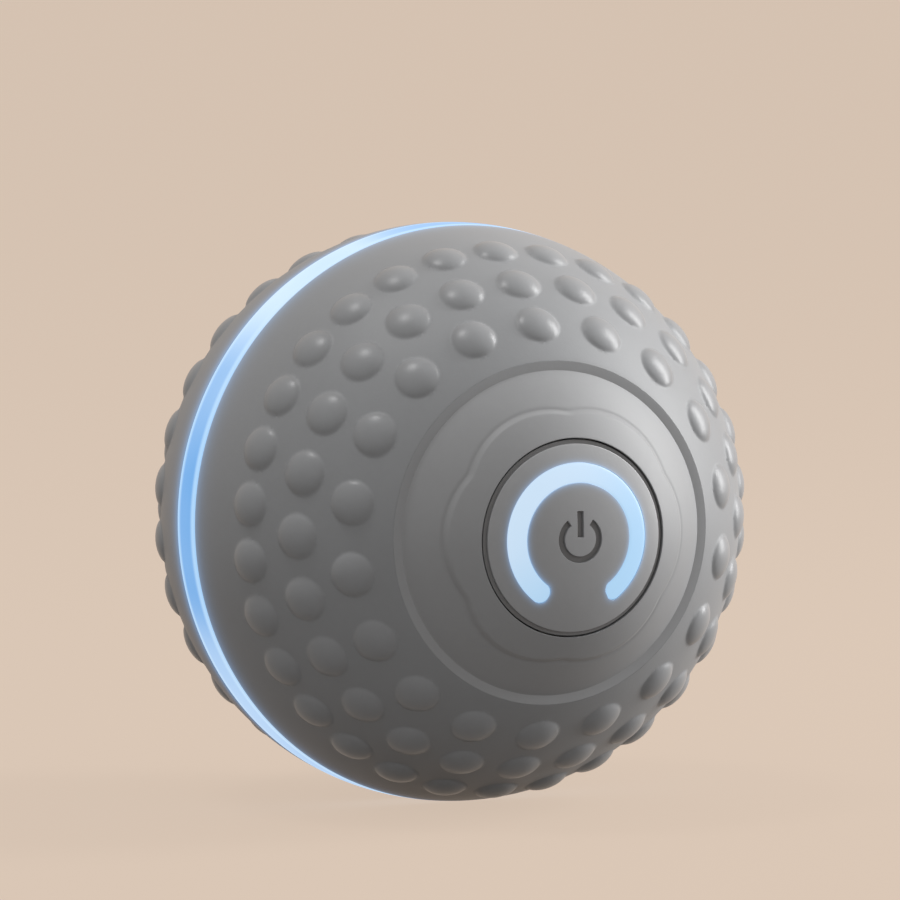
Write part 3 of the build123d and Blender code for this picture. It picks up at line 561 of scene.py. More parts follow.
def cap_surface(ball):
    """The cap's section carried round the pole axis. On the dome, the height gains the plateau's height
    times a smooth step across the lobed outline, less a groove exp(-(u/w)²) where u runs from just outside
    it. The second result is the painted shade at each point: more on the dome than on its ledge, and most
    in the groove."""
    covers, caps, disc = ball.covers, ball.caps, ball.disc
    ledge, seat = ledge_height(covers), seat_height(covers, caps)
    ledge_gap = FIT / 5
    outer = covers.opening - ledge_gap
    lip_room = covers.opening - covers.lip_width - FIT
    lip_ceiling = seat + covers.lip_wall + FIT
    foot = np.array([covers.opening - caps.ledge_width, ledge])
    top = np.array([disc.radius + disc.gap, ledge + caps.dome_rise])
    chord = top - foot
    span = hypot(*chord)
    bend = (span**2 / 4 + caps.dome_bulge**2) / (2 * caps.dome_bulge)
    outward = np.array([chord[1], -chord[0]]) / span
    centre = (foot + top) / 2 - outward * (bend - caps.dome_bulge)
    first = np.arctan2(*(foot - centre)[::-1])
    last = np.arctan2(*(top - centre)[::-1])
    dome = arc_points(centre, bend, first, last, steps=96)
    along = (dome[-1] - dome[-2]) / hypot(*(dome[-1] - dome[-2]))
    keep = np.hypot(*(dome - top).T) > caps.rim_round
    dome = dome[keep]
    rim_start = top - along * caps.rim_round
    rim = soft_corner(rim_start, top, top - (0, caps.rim_round))
    soft = caps.ledge_round
    ledge_corner = soft_corner((outer, ledge - soft), (outer, ledge), (outer - soft, ledge))
    core_inner, core_outer = CAP_SEAT_RADIUS + caps.wall, lip_room - caps.wall
    core_foot = ledge - caps.wall
    core_top = core_foot + caps.dome_rise / (foot[0] - top[0]) * (core_outer - core_inner)
    before = np.concatenate([[(lip_room, seat), (lip_room, lip_ceiling), (outer, lip_ceiling)], ledge_corner])
    raised = np.concatenate([dome, rim])
    after = np.array([
        (top[0], CAP_SEAT_TOP), (CAP_SEAT_RADIUS, CAP_SEAT_TOP), (CAP_SEAT_RADIUS, seat), (core_inner, seat),
        (core_inner, core_top), (core_outer, core_foot), (core_outer, seat),
    ])
    grid = turned(np.concatenate([before, raised, after]))
    rows = slice(len(before), len(before) + len(raised))
    x, y = grid[rows, :, 0], grid[rows, :, 1]
    radius, angle = np.hypot(x, y), np.arctan2(y, x)
    inward = lobed_radius(caps, angle) - radius
    line = np.exp(-(((inward + caps.groove_width) / caps.groove_width) ** 2))
    grid[rows, :, 2] += caps.plateau * smooth_step(-caps.plateau_edge / 2, caps.plateau_edge / 2, inward)
    grid[rows, :, 2] -= caps.groove * line
    painted_shade = np.zeros(grid.shape[:2])
    shade_width = 0.2 * MM
    # Painted shade: a little on the dome beside its ledge, and more in the groove round the plateau
    painted_shade[rows] = DOME_SHADE * smooth_step(0, shade_width, foot[0] - radius) + GROOVE_SHADE * line
    return grid, painted_shade.ravel()


def make_caps(ball):
    """Both pole caps."""
    grid, painted_shade = cap_surface(ball)
    plastic = plastic_material("cap plastic", ball.finishes.cap, roughness=0.52, with_painted_shade=True)
    names, nodes = ("front_dome_cap", "rear_dome_cap"), ("front_pole_cap", "rear_pole_cap")
    # The caps carry painted shade on the dome and in the groove
    make_pair(names, nodes, grid, {"painted_shade": painted_shade}, plastic)


# Discs

def crown_radius(disc):
    """Radius of the ball through the disc's middle and rim, which its hollow underside follows."""
    return (disc.radius**2 + disc.crown**2) / (2 * disc.crown)


def dome_height(disc, radius):
    """Height of the disc's face at a distance from its middle: the pole less the crown times
    (1 - f) u² + f u⁴, with u the share of the disc's radius."""
    square = (radius / disc.radius) ** 2
    return disc.pole - disc.crown * ((1 - disc.fullness) * square + disc.fullness * square**2)


def disc_underside(disc):
    """Height of the disc's lower edge."""
    return disc.pole - disc.crown - disc.wall


def face_radius(disc):
    """Radius of the disc's face within the rebate."""
    return disc.radius - disc.rebate


def rebate_floor(disc):
    """Height of the rebate's floor."""
    return dome_height(disc, face_radius(disc)) - disc.rebate_depth


def disc_edge(disc):
    """The disc's side, the rebate's floor and wall, and the edge of the domed face, as soft corners."""
    soft, floor, wall = disc.rebate_round, rebate_floor(disc), face_radius(disc)
    inner = wall - soft
    face = dome_height(disc, wall)
    return np.concatenate([
        [(disc.radius, disc_underside(disc))],
        soft_corner((disc.radius, floor - soft), (disc.radius, floor), (disc.radius - soft, floor)),
        soft_corner((wall + soft, floor), (wall, floor), (wall, floor + soft)),
        soft_corner((wall, face - soft), (wall, face), (inner, dome_height(disc, inner))),
    ])


def rebate_painted_shade(disc, height):
    """Painted shade in the rebate at a height: none at the face's edge, and most from half way down."""
    face = dome_height(disc, face_radius(disc))
    return REBATE_SHADE * smooth_step(0, -disc.rebate_depth / 2, height - face)


def guide_ring(button):
    """Middle radius and half width of the C-shaped light."""
    return (button.guide_inner + button.guide_outer) / 2, (button.guide_outer - button.guide_inner) / 2


def guide_distance(x, y, button):
    """Distance outside the C-shaped slot, and negative inside it. With p the distance beyond its sides, q the
    distance past its tips and c the corner round, it is the length of the positive parts of (p + c, q + c),
    plus the larger of the two where neither is positive, less c."""
    middle, half = guide_ring(button)
    from_top = np.abs(np.arctan2(x, y))
    beyond = np.abs(np.hypot(x, y) - middle) - half + button.guide_corner
    past = middle * (from_top - (pi - button.guide_opening / 2)) + button.guide_corner
    outside = np.hypot(np.maximum(beyond, 0), np.maximum(past, 0))
    return outside + np.minimum(np.maximum(beyond, past), 0) - button.guide_corner


def symbol_distance(x, y, button):
    """Distance outside the power symbol: a ring with an opening at the top, and a bar in the opening."""
    radius = np.hypot(x, y)
    half = button.symbol_line / 2
    from_top = np.abs(np.arctan2(x, y))
    wedge = radius * np.sin(np.clip(button.symbol_opening / 2 - from_top, -pi / 2, pi / 2))
    ring = np.maximum(np.abs(radius - button.symbol_radius) - half, wedge)
    bar_middle = (button.bar_low + button.bar_high) / 2
    bar_half = (button.bar_high - button.bar_low) / 2
    bar = np.maximum(np.abs(x) - half, np.abs(y - bar_middle) - bar_half)
    return np.minimum(ring, bar)


def row_radii(disc, button):
    """Radii of the button's rows, from the rim inwards: close together at the symbol and at both edges of the
    light guide, where two rows stand on either side of the step."""
    innermost, clear = 0.05 * MM, 3 * STEP
    half = button.symbol_line / 2
    edges = [button.guide_inner, button.guide_outer, button.symbol_radius - half, button.symbol_radius + half]
    symbol, plain, guide, outer = FACE_ROWS
    radii = np.concatenate([
        np.linspace(innermost, button.bar_high + half, symbol),
        np.linspace(button.bar_high + 2 * half, button.guide_inner - clear, plain),
        np.linspace(button.guide_inner + clear, button.guide_outer - clear, guide),
        np.linspace(button.guide_outer + clear, face_radius(disc) - disc.rebate_round, outer)[:-1],
        *[(edge - STEP, edge + STEP) for edge in edges],
    ])
    return np.unique(np.round(radii, 8))[::-1]


def button_disc(ball):
    """The button's section carried round the pole axis. The domed face is lowered by the depth of the light
    guide's seat and of the power symbol, each times a smooth step across its outline. The sunk symbol gets
    painted shade, darkest along its edges by exp(d / w) with d the distance inside them, and blue light
    spills from the guide by exp(-d / w) with d the distance outside it."""
    disc, button = ball.disc, ball.button
    crown = crown_radius(disc)
    inner_crown = crown - disc.wall
    underside = disc_underside(disc)
    skirt_inner = disc.skirt_radius - disc.skirt_wall
    skirt_foot = underside - disc.skirt_depth
    innermost, soft, dark_width, spill_width = 0.1 * MM, 0.045 * MM, 0.1 * MM, 0.26 * MM
    first, last = acos(innermost / inner_crown), acos(skirt_inner / inner_crown)
    ceiling = arc_points((0, disc.pole - crown), inner_crown, first, last, steps=10)
    skirt = [(skirt_inner, skirt_foot), (disc.skirt_radius, skirt_foot), (disc.skirt_radius, underside)]
    radii = row_radii(disc, button)
    face = np.stack([radii, dome_height(disc, radii)], axis=1)
    lower = np.concatenate([ceiling, skirt, disc_edge(disc)])
    grid = turned(np.concatenate([lower, face]))
    rows = slice(len(lower), len(lower) + len(face))
    x, y = grid[rows, :, 0], grid[rows, :, 1]
    guide = guide_distance(x, y, button)
    symbol = symbol_distance(x, y, button)
    # Painted shade in the rebate round the disc, and in the sunk power symbol, darkest along its edges
    painted_shade = rebate_painted_shade(disc, grid[:, :, 2])
    sunk = smooth_step(soft, -soft, symbol)
    painted_edge_shade = np.exp(np.minimum(symbol, 0) / dark_width)
    painted_shade[rows] = sunk * (SYMBOL_SHADE + (1 - SYMBOL_SHADE) * painted_edge_shade)
    spill = np.zeros(grid.shape[:2])
    spill[rows] = np.exp(-np.clip(guide, 0, None) / spill_width)
    grid[rows, :, 2] -= (button.guide_depth + FIT) * smooth_step(STEP, -STEP, guide)
    grid[rows, :, 2] -= button.symbol_depth * sunk
    ends = np.zeros(2)
    marks = {"spill": np.concatenate([spill.ravel(), ends]), "painted_shade": np.concatenate([painted_shade.ravel(), ends])}
    return closed_surface(grid), marks


def bar_surface(section, low, high, outward=0, angle=0):
    """A straight bar: a closed section of (x, y) corners, moved outward and turned, between two heights."""
    points = np.array(section, float) + (outward, 0)
    spin = np.array([[cos(angle), sin(angle)], [-sin(angle), cos(angle)]])
    flat = points @ spin
    return closed_surface(np.stack([np.column_stack([flat, np.full(len(flat), h)]) for h in (low, high)]))


def button_legs(ball):
    """The post over the switch and three snap legs with hooks, up to the disc's hollow underside."""
    disc, button = ball.disc, ball.button
    inner_crown = crown_radius(disc) - disc.wall / 2
    base = disc.pole - crown_radius(disc)
    post = turned([(button.post_radius, 0)], POST_COLUMNS)[0, :, :2]
    parts = [bar_surface(post, button.post_foot, base + inner_crown - FIT)]
    wall, width = button.leg_wall / 2, button.leg_width / 2
    leg_top = base + sqrt(inner_crown**2 - button.leg_circle**2)
    hook_top = button.leg_foot + button.hook_height
    for angle in LEG_ANGLES:
        for reach, low, high in ((0, hook_top, leg_top), (button.leg_hook, button.leg_foot, hook_top)):
            front = wall + reach
            section = ((-wall, -width), (front, -width), (front, width), (-wall, width))
            parts.append(bar_surface(section, low, high, button.leg_circle, radians(angle)))
    return parts


def make_button(ball):
    """The power button, with its post and legs."""
    surface, marks = button_disc(ball)
    legs = button_legs(ball)
    extra = np.zeros(sum(len(part[0]) for part in legs))
    marks = {label: np.concatenate([values, extra]) for label, values in marks.items()}
    piece = make_piece("push_button", [surface, *legs], marks=marks)
    disc_tint, halo = ball.finishes.disc, ball.finishes.halo
    plastic = plastic_material("button plastic", disc_tint, roughness=0.42, with_painted_shade=True, halo=halo)
    place_piece(piece, "power_button", plastic)


def make_light_guide(ball):
    """The C-shaped lens: a flat-sided section carried along an arc, narrowed by quarter circles at both
    tips. Across the C, v runs from -1 to 1 and the radius is middle + v w, where w is the half width there.
    The height follows the disc's dome, with the edges eased down, and the sides stand clear of the seat."""
    disc, button = ball.disc, ball.button
    middle, seat_half = guide_ring(button)
    half, corner = seat_half - STEP, button.guide_corner
    reach = pi - button.guide_opening / 2 - corner / middle
    tip_rows, arc_rows = 12, 128
    bend = np.linspace(0, pi / 2, tip_rows)
    beyond = np.sin(bend) * (corner - STEP) / middle
    narrowed = half - corner * (1 - np.cos(bend))
    arc = np.linspace(-reach, reach, arc_rows + 2)[1:-1]
    angles = np.concatenate([-(reach + beyond[::-1]), arc, reach + beyond])
    widths = np.concatenate([narrowed[::-1], np.full(arc_rows, half), narrowed])
    across = np.array([-1, -0.94, -0.86, -0.6, -0.3, 0, 0.3, 0.6, 0.86, 0.94, 1])
    ease = np.array([0.10, 0.025, 0, 0, 0, 0, 0, 0, 0, 0.025, 0.10]) * MM
    v = np.concatenate([across, [1, -1]])
    drop = np.concatenate([ease, [button.guide_depth, button.guide_depth]])
    radius = middle + widths[:, None] * v[None, :]
    x, y = radius * np.sin(angles[:, None]), radius * np.cos(angles[:, None])
    grid = np.stack([x, y, dome_height(disc, radius) - drop], axis=2)
    piece = make_piece("button_glow_arc", [closed_surface(grid)])
    place_piece(piece, "button_light_guide", guide_material(ball.finishes))


# Charging end

def slot_radius(angle, slot_length, slot_width):
    """Distance from the middle to the edge of a slot with round ends, in a direction: along the straight
    sides it is half the width over |sin a|, and at an end s |cos a| + sqrt(e² - s² sin² a), where s is how
    far the end's middle lies and e its radius."""
    end = slot_width / 2
    shift = slot_length / 2 - end
    sine, cosine = np.abs(np.sin(angle)), np.abs(np.cos(angle))
    above_zero = 1e-9
    side = end / np.maximum(sine, above_zero)
    tip = shift * cosine + np.sqrt(np.clip(end**2 - (shift * sine) ** 2, 0, None))
    return np.where(side * cosine <= shift, side, tip)


def even_slot_angles(slot_length, slot_width, count):
    """Directions whose rays meet a slot's edge at even distances along it."""
    samples = 40 * count
    fine = np.linspace(0, 2 * pi, samples + 1)
    radius = slot_radius(fine, slot_length, slot_width)
    steps = np.hypot(np.diff(radius * np.cos(fine)), np.diff(radius * np.sin(fine)))
    run = np.concatenate([[0], np.cumsum(steps)])
    return np.interp(np.arange(count) * run[-1] / count, run, fine)


def quarter_round(size, part):
    """How far a rounding has left its side at a share s of its width: size (1 - sqrt(1 - s²))."""
    return size * (1 - sqrt(1 - part**2))


def charging_cover_surface(ball, angle):
    """The rear disc, as a loop of rows: domed face, recess for the stopper, slot through its floor, web and
    skirt. Rows between the rim and the recess are shared out between both outlines."""
    disc, plug, bevel = ball.disc, ball.plug, SMALL_BEVEL
    head = slot_radius(angle, plug.head_length + 2 * plug.gap, plug.head_width + 2 * plug.gap)
    stem = slot_radius(angle, plug.stem_length + 2 * plug.gap, plug.stem_width + 2 * plug.gap)
    floor = disc.pole - plug.head_wall
    skirt_inner = disc.skirt_radius - disc.skirt_wall
    web_low = floor - plug.web
    rows = [
        (skirt_inner, web_low), (skirt_inner, plug.skirt_foot), (disc.skirt_radius, plug.skirt_foot),
        (disc.skirt_radius, disc_underside(disc)), *disc_edge(disc),
    ]
    rim_inner = face_radius(disc) - disc.rebate_round
    face_rows = 22
    for part in np.linspace(0, 1, face_rows)[1:]:
        radius = rim_inner + (head + bevel - rim_inner) * part
        rows.append((radius, dome_height(disc, radius)))
    lip = dome_height(disc, head + bevel)
    for part in (0.35, 0.7, 1):
        rows.append((head + bevel * (1 - part), lip - quarter_round(bevel, part)))
    rows += [(head, floor), (stem, floor), (stem, web_low)]
    grid = np.stack([carried_round(radius, height, angle) for radius, height in rows])
    # The second result is the painted shade in the rebate
    return closed_surface(grid, joined=True), rebate_painted_shade(disc, grid[:, :, 2]).ravel()


def plug_surface(ball, angle):
    """The stopper: rows at shares of its slot-shaped outline, with a domed head that follows the disc, a soft
    edge and a shallow finger groove exp(-(x/w)²) across it, over a narrower stem."""
    disc, plug = ball.disc, ball.plug
    head = slot_radius(angle, plug.head_length, plug.head_width)
    stem = slot_radius(angle, plug.stem_length, plug.stem_width)
    floor = disc.pole - plug.head_wall + FIT
    bevel, edge_drop, groove_width = 0.3 * MM, 0.8, 1.1 * MM
    rows = [(stem * part, floor - plug.web) for part in (0.3, 0.7, 1)]
    rows += [(stem, floor), (head, floor)]
    for part in (0, 0.4, 0.75, 1):
        radius = head - quarter_round(bevel, part)
        rows.append((radius, dome_height(disc, radius) - bevel * (1 - part) * edge_drop))
    outermost, innermost, face_rows = 0.97, 0.02, 34
    for part in np.linspace(outermost, innermost, face_rows):
        radius = (head - bevel) * part
        across = np.exp(-((radius * np.cos(angle) / groove_width) ** 2))
        rows.append((radius, dome_height(disc, radius) - plug.groove * across * smooth_step(1, 0.8, part)))
    return closed_surface(np.stack([carried_round(radius, height, angle) for radius, height in rows]))


def make_charging_end(ball):
    """The charging cover and its stopper, whose rubber is darker than the covers'."""
    plug, finishes = ball.plug, ball.finishes
    angle = even_slot_angles(plug.head_length, plug.head_width, SLOT_COLUMNS)
    plastic = plastic_material("disc plastic", finishes.disc, roughness=0.44, with_painted_shade=True)
    # The disc's rebate gets painted shade
    surface, painted_shade = charging_cover_surface(ball, angle)
    cover = make_piece("charging_disc", [surface], behind=True, marks={"painted_shade": painted_shade})
    place_piece(cover, "charging_cover", plastic)
    stopper = make_piece("rubber_stopper", [plug_surface(ball, angle)], behind=True)
    stopper_tone = 0.72
    tint = tuple(stopper_tone * part for part in finishes.rubber)
    soft = plastic_material("stopper rubber", tint, roughness=0.62, grain=0.2 * MM, variation=0.1)
    place_piece(stopper, "port_plug", soft)


# Materials

def rgba(value):
    """A colour with its alpha, or a socket as it is."""
    return value if isinstance(value, NodeSocket) else (*value[:3], 1)


def fill(socket, value):
    """Links an input to another node's output, or sets its constant."""
    if isinstance(value, NodeSocket):
        socket.id_data.links.new(value, socket)
    else:
        socket.default_value = value


def feed(node, **values):
    """Fills a node's inputs, whose names are written with _ for a space."""
    for name, value in values.items():
        fill(node.inputs[name.replace("_", " ")], value)


def add_node(tree, kind, inputs=None, **settings):
    """One node of a tree. Settings are the node's own, and inputs are constants or sockets that feed it."""
    made = tree.nodes.new(kind)
    wide, tall, in_row = 200, 260, 12
    row, column = divmod(len(tree.nodes), in_row)
    made.location = (wide * column, -tall * row)
    for name, value in settings.items():
        setattr(made, name, value)
    for name, value in (inputs or {}).items():
        fill(made.inputs[name], value)
    return made


def object_place(tree):
    """Each point's place on its own piece."""
    return add_node(tree, "ShaderNodeTexCoord").outputs["Object"]


def mark_value(tree, name):
    """A value that the piece holds at each point."""
    return add_node(tree, "ShaderNodeAttribute", attribute_name=name).outputs["Fac"]


def noise(tree, place, scale, detail, roughness=0.5):
    """Soft noise from 0 to 1."""
    sockets = {"Vector": place, "Scale": scale, "Detail": detail, "Roughness": roughness}
    return add_node(tree, "ShaderNodeTexNoise", sockets).outputs[0]


def maths(tree, operation, first, second=0.0, clamp=False):
    """The result of one sum."""
    made = add_node(tree, "ShaderNodeMath", {0: first, 1: second}, operation=operation, use_clamp=clamp)
    return made.outputs[0]


def blend_colours(tree, factor, first, second):
    """A colour between two others."""
    sockets = {0: factor, 6: rgba(first), 7: rgba(second)}
    return add_node(tree, "ShaderNodeMix", sockets, data_type="RGBA").outputs[2]


def scale_colour(tree, tint, factor):
    """A colour times a value."""
    return add_node(tree, "ShaderNodeVectorMath", {0: tint, "Scale": factor}, operation="SCALE").outputs[0]


def spread(tree, value, low, high):
    """Carries a value's range from low to high smoothly over to the range from 0 to 1."""
    sockets = {"Value": value, "From Min": low, "From Max": high, "To Min": 0.0, "To Max": 1.0}
    return add_node(tree, "ShaderNodeMapRange", sockets, interpolation_type="SMOOTHSTEP").outputs[0]


def ramp(tree, value, stops):
    """A value from 0 to 1 carried through (position, grey) stops, with smooth joins."""
    made = add_node(tree, "ShaderNodeValToRGB", {0: value})
    curve = made.color_ramp
    curve.interpolation = "EASE"
    while len(curve.elements) < len(stops):
        curve.elements.new(0.5)
    for place, (position, grey) in enumerate(stops):
        curve.elements[place].position = position
        curve.elements[place].color = (grey, grey, grey, 1)
    return made.outputs[0]


def new_group(name, inputs, outputs):
    """An empty node group, from its inputs' values and its outputs' names. A socket called Colour holds a
    colour, and any other a number."""
    tree = bpy.data.node_groups.new(name, "ShaderNodeTree")
    for way, labels in (("INPUT", inputs), ("OUTPUT", outputs)):
        for label in labels:
            kind = "NodeSocketColor" if label == "Colour" else "NodeSocketFloat"
            socket = tree.interface.new_socket(name=label, in_out=way, socket_type=kind)
            if way == "INPUT":
                socket.default_value = inputs[label]
    return tree, tree.nodes.new("NodeGroupInput").outputs, tree.nodes.new("NodeGroupOutput")


def grain_group():
    """Moulded skin: fine grain and faint ripples as a height, and broad patches as a tone and a roughness."""
    tree, given, result = new_group(
        "Moulded skin",
        {"Colour": (0.5, 0.5, 0.5, 1), "Grain size": 0.3 * MM, "Variation": 0.06, "Roughness": 0.5},
        ("Colour", "Roughness", "Height"),
    )
    place = object_place(tree)
    grains = maths(tree, "DIVIDE", 1.0, given["Grain size"])
    fine = noise(tree, place, grains, detail=3.0, roughness=0.55)
    patch = noise(tree, place, scale=90.0, detail=4.0, roughness=0.6)
    speck = noise(tree, place, scale=900.0, detail=2.0)
    fleck_share, ripple_share, dull_swing = 0.5, 0.5, 0.16
    fleck = maths(tree, "MULTIPLY", maths(tree, "SUBTRACT", speck, 0.5), fleck_share)
    mixed = maths(tree, "ADD", maths(tree, "SUBTRACT", patch, 0.5), fleck)
    swing = maths(tree, "MULTIPLY", mixed, maths(tree, "MULTIPLY", given["Variation"], 2.0))
    duller = maths(tree, "MULTIPLY", mixed, dull_swing)
    feed(
        result,
        Colour=scale_colour(tree, given["Colour"], maths(tree, "ADD", 1.0, swing)),
        Roughness=maths(tree, "ADD", given["Roughness"], duller, clamp=True),
        Height=maths(tree, "ADD", fine, maths(tree, "MULTIPLY", patch, ripple_share)),
    )
    return tree


def spill_group():
    """Light from the glowing ring in the rubber beside it, which fades with distance from the seam."""
    tree, given, result = new_group(
        "Ring spill", {"Colour": (0.1, 0.3, 0.6, 1), "Seam": 2.7 * MM, "Reach": 2.0 * MM}, ("Colour",),
    )
    axis = add_node(tree, "ShaderNodeSeparateXYZ", {0: object_place(tree)}).outputs["Y"]
    away = maths(tree, "SUBTRACT", maths(tree, "ABSOLUTE", axis), given["Seam"])
    fade = maths(tree, "MULTIPLY", maths(tree, "DIVIDE", away, given["Reach"]), -1.0)
    glow = maths(tree, "MINIMUM", maths(tree, "EXPONENT", fade), 1.0)
    feed(result, Colour=scale_colour(tree, given["Colour"], glow))
    return tree


def metal_group():
    """Worked metal: fine marks across the pole axis, and faint clouding."""
    tree, given, result = new_group(
        "Worked metal", {"Colour": (0.6, 0.6, 0.6, 1), "Roughness": 0.35}, ("Colour", "Roughness", "Height"),
    )
    place = object_place(tree)
    pressed = add_node(tree, "ShaderNodeMapping", {"Vector": place, "Scale": (1.0, 9.0, 1.0)}).outputs[0]
    marks = noise(tree, pressed, scale=700.0, detail=4.0)
    mixed = maths(tree, "ADD", marks, noise(tree, place, scale=160.0, detail=3.0))
    plain_tone, tone_swing, dull_swing = 0.82, 0.18, 0.15
    tone = maths(tree, "ADD", plain_tone, maths(tree, "MULTIPLY", mixed, tone_swing))
    duller = maths(tree, "MULTIPLY", marks, dull_swing)
    feed(
        result,
        Colour=scale_colour(tree, given["Colour"], tone),
        Roughness=maths(tree, "ADD", given["Roughness"], duller, clamp=True),
        Height=marks,
    )
    return tree


def place_group(tree, name, build, values):
    """Places a node group, which is built once, with values for its inputs."""
    group = bpy.data.node_groups.get(name) or build()
    return add_node(tree, "ShaderNodeGroup", values, node_tree=group)


def start_material(name, **constants):
    """A material with only its shader, whose constant sockets are set."""
    material = bpy.data.materials.new(name)
    material.use_nodes = True
    shader = material.node_tree.nodes["Principled BSDF"]
    feed(shader, **constants)
    return material, material.node_tree, shader


def follow_group(tree, shader, group, depth):
    """Feeds a shader's roughness, and a bump of the given depth, from a group whose colour comes back."""
    sockets = {"Height": group.outputs["Height"], "Strength": 1.0, "Distance": depth}
    bump = add_node(tree, "ShaderNodeBump", sockets)
    feed(shader, Roughness=group.outputs["Roughness"], Normal=bump.outputs[0])
    return group.outputs["Colour"]


def use_skin(tree, shader, tint, roughness, grain, variation, depth):
    """The moulded skin's colour, while its roughness and bump feed the shader."""
    values = {"Colour": rgba(tint), "Grain size": grain, "Variation": variation, "Roughness": roughness}
    return follow_group(tree, shader, place_group(tree, "Moulded skin", grain_group, values), depth)


def rubber_material(finishes, seam):
    """Soft rubber: bumps polished and a little paler, and blue light from the ring along the seam."""
    tint = finishes.rubber
    material, tree, shader = start_material("soft rubber", Specular_IOR_Level=0.34, Emission_Strength=1.0)
    base = use_skin(tree, shader, tint, roughness=0.48, grain=0.3 * MM, variation=0.05, depth=0.012 * MM)
    crown = mark_value(tree, "crown")
    dull = shader.inputs["Roughness"].links[0].from_socket
    most_smooth, most_pale, pale_tone = 0.15, 0.12, 1.25
    smooth = maths(tree, "MULTIPLY", spread(tree, crown, low=0.05, high=0.35), most_smooth)
    polish = maths(tree, "MULTIPLY", spread(tree, crown, low=0.45, high=1.0), most_pale)
    paler = tuple(min(1, pale_tone * part) for part in tint)
    values = {"Colour": rgba(finishes.halo), "Seam": seam, "Reach": 1.1 * MM}
    feed(
        shader,
        Roughness=maths(tree, "SUBTRACT", dull, smooth),
        Base_Color=blend_colours(tree, polish, base, paler),
        Emission_Color=place_group(tree, "Ring spill", spill_group, values).outputs[0],
    )
    return material


def plastic_material(name, tint, roughness, grain=0.35 * MM, variation=0.05, with_painted_shade=False, halo=None):
    """Moulded plastic with a fine grain, with painted shade where its pieces mark it, and lit by a halo where
    they mark the spill of light."""
    material, tree, shader = start_material(name, Specular_IOR_Level=0.45)
    base = use_skin(tree, shader, tint, roughness, grain, variation, depth=0.008 * MM)
    if with_painted_shade:
        # Painted shade: the marked places blend towards a darker copy of the colour
        most_dark, dark_tone = 0.85, 0.25
        depth = maths(tree, "MULTIPLY", mark_value(tree, "painted_shade"), most_dark)
        base = blend_colours(tree, depth, base, tuple(dark_tone * part for part in tint))
    feed(shader, Base_Color=base)
    if halo is not None:
        glow = blend_colours(tree, mark_value(tree, "spill"), (0, 0, 0), halo)
        feed(shader, Emission_Strength=1.0, Emission_Color=glow)
    return material


def lit_material(name, cloud_scale):
    """A lit lens: its material, tree and shader, the coordinates on it, and a faint cloud round 0."""
    constants = {"Roughness": 0.4, "Emission_Strength": 1.0, "Base_Color": (0.08, 0.12, 0.18, 1)}
    material, tree, shader = start_material(name, **constants)
    place = object_place(tree)
    axes = add_node(tree, "ShaderNodeSeparateXYZ", {0: place}).outputs
    cloud = maths(tree, "SUBTRACT", noise(tree, place, cloud_scale, detail=2.0), 0.5)
    unevenness = 0.3
    return material, tree, shader, axes, maths(tree, "MULTIPLY", cloud, unevenness)


def band_material(finishes):
    """Lit lens of the ring: paler along both edges and towards the ball's top and foot."""
    material, tree, shader, axes, uneven = lit_material("lit ring", cloud_scale=60.0)
    across = maths(tree, "ABSOLUTE", axes["Y"])
    edge = spread(tree, across, low=0.5 * BAND_HALF, high=0.86 * BAND_HALF)
    height = maths(tree, "ADD", maths(tree, "DIVIDE", axes["Z"], 2 * BALL_RADIUS), 0.5)
    pale = ramp(tree, height, BAND_STOPS)
    core_pale = maths(tree, "ADD", pale, uneven, clamp=True)
    core = blend_colours(tree, core_pale, finishes.band_core, finishes.band_pale)
    rim = blend_colours(tree, pale, finishes.band_edge, finishes.band_pale)
    feed(shader, Emission_Color=blend_colours(tree, edge, core, rim))
    return material


def guide_material(finishes):
    """Lit lens of the button, palest at the upper left."""
    material, tree, shader, axes, uneven = lit_material("lit button arc", cloud_scale=120.0)
    lean = maths(tree, "SUBTRACT", axes["Z"], axes["X"])
    pale = maths(tree, "ADD", spread(tree, lean, low=-10 * MM, high=12 * MM), uneven, clamp=True)
    feed(shader, Emission_Color=blend_colours(tree, pale, finishes.guide_core, finishes.guide_pale))
    return material


def metal_material(name, tint, roughness=0.3):
    """Worked metal."""
    material, tree, shader = start_material(name, Metallic=1.0)
    values = {"Colour": rgba(tint), "Roughness": roughness}
    metal = place_group(tree, "Worked metal", metal_group, values)
    feed(shader, Base_Color=follow_group(tree, shader, metal, depth=0.01 * MM))
    return material


def finish_inner_pieces():
    """Gives every CAD node a finish made from its slot in the record."""
    finishes = {}
    for entry in frame["record"]["materials"]:
        slot, tint = entry["slot"], entry["base_color"]
        name = f"inner {slot}"
        if "steel" in entry["class"] or entry["class"] == "brass":
            finishes[slot] = metal_material(name, tint)
        else:
            roughness = FINISH_ROUGHNESS[entry["finish"]]
            finishes[slot] = plastic_material(name, tint, roughness, grain=0.4 * MM, variation=0.06)
    for node, piece in frame["nodes"].items():
        material = finishes[slot_of[node]]
        if not piece.material_slots:
            piece.data.materials.append(material)
        for place in piece.material_slots:
            place.material = material


# Stage

def empty_tree(owner):
    """The emptied node tree of a material or a world."""
    owner.use_nodes = True
    owner.node_tree.nodes.clear()
    return owner.node_tree


def seen_rays(tree):
    """1 for what the camera sees, straight or in a reflection or glass, and 0 for what lights the ball."""
    path = add_node(tree, "ShaderNodeLightPath").outputs
    seen = maths(tree, "MAXIMUM", path["Is Camera Ray"], path["Is Glossy Ray"])
    return maths(tree, "MAXIMUM", seen, path["Is Transmission Ray"])


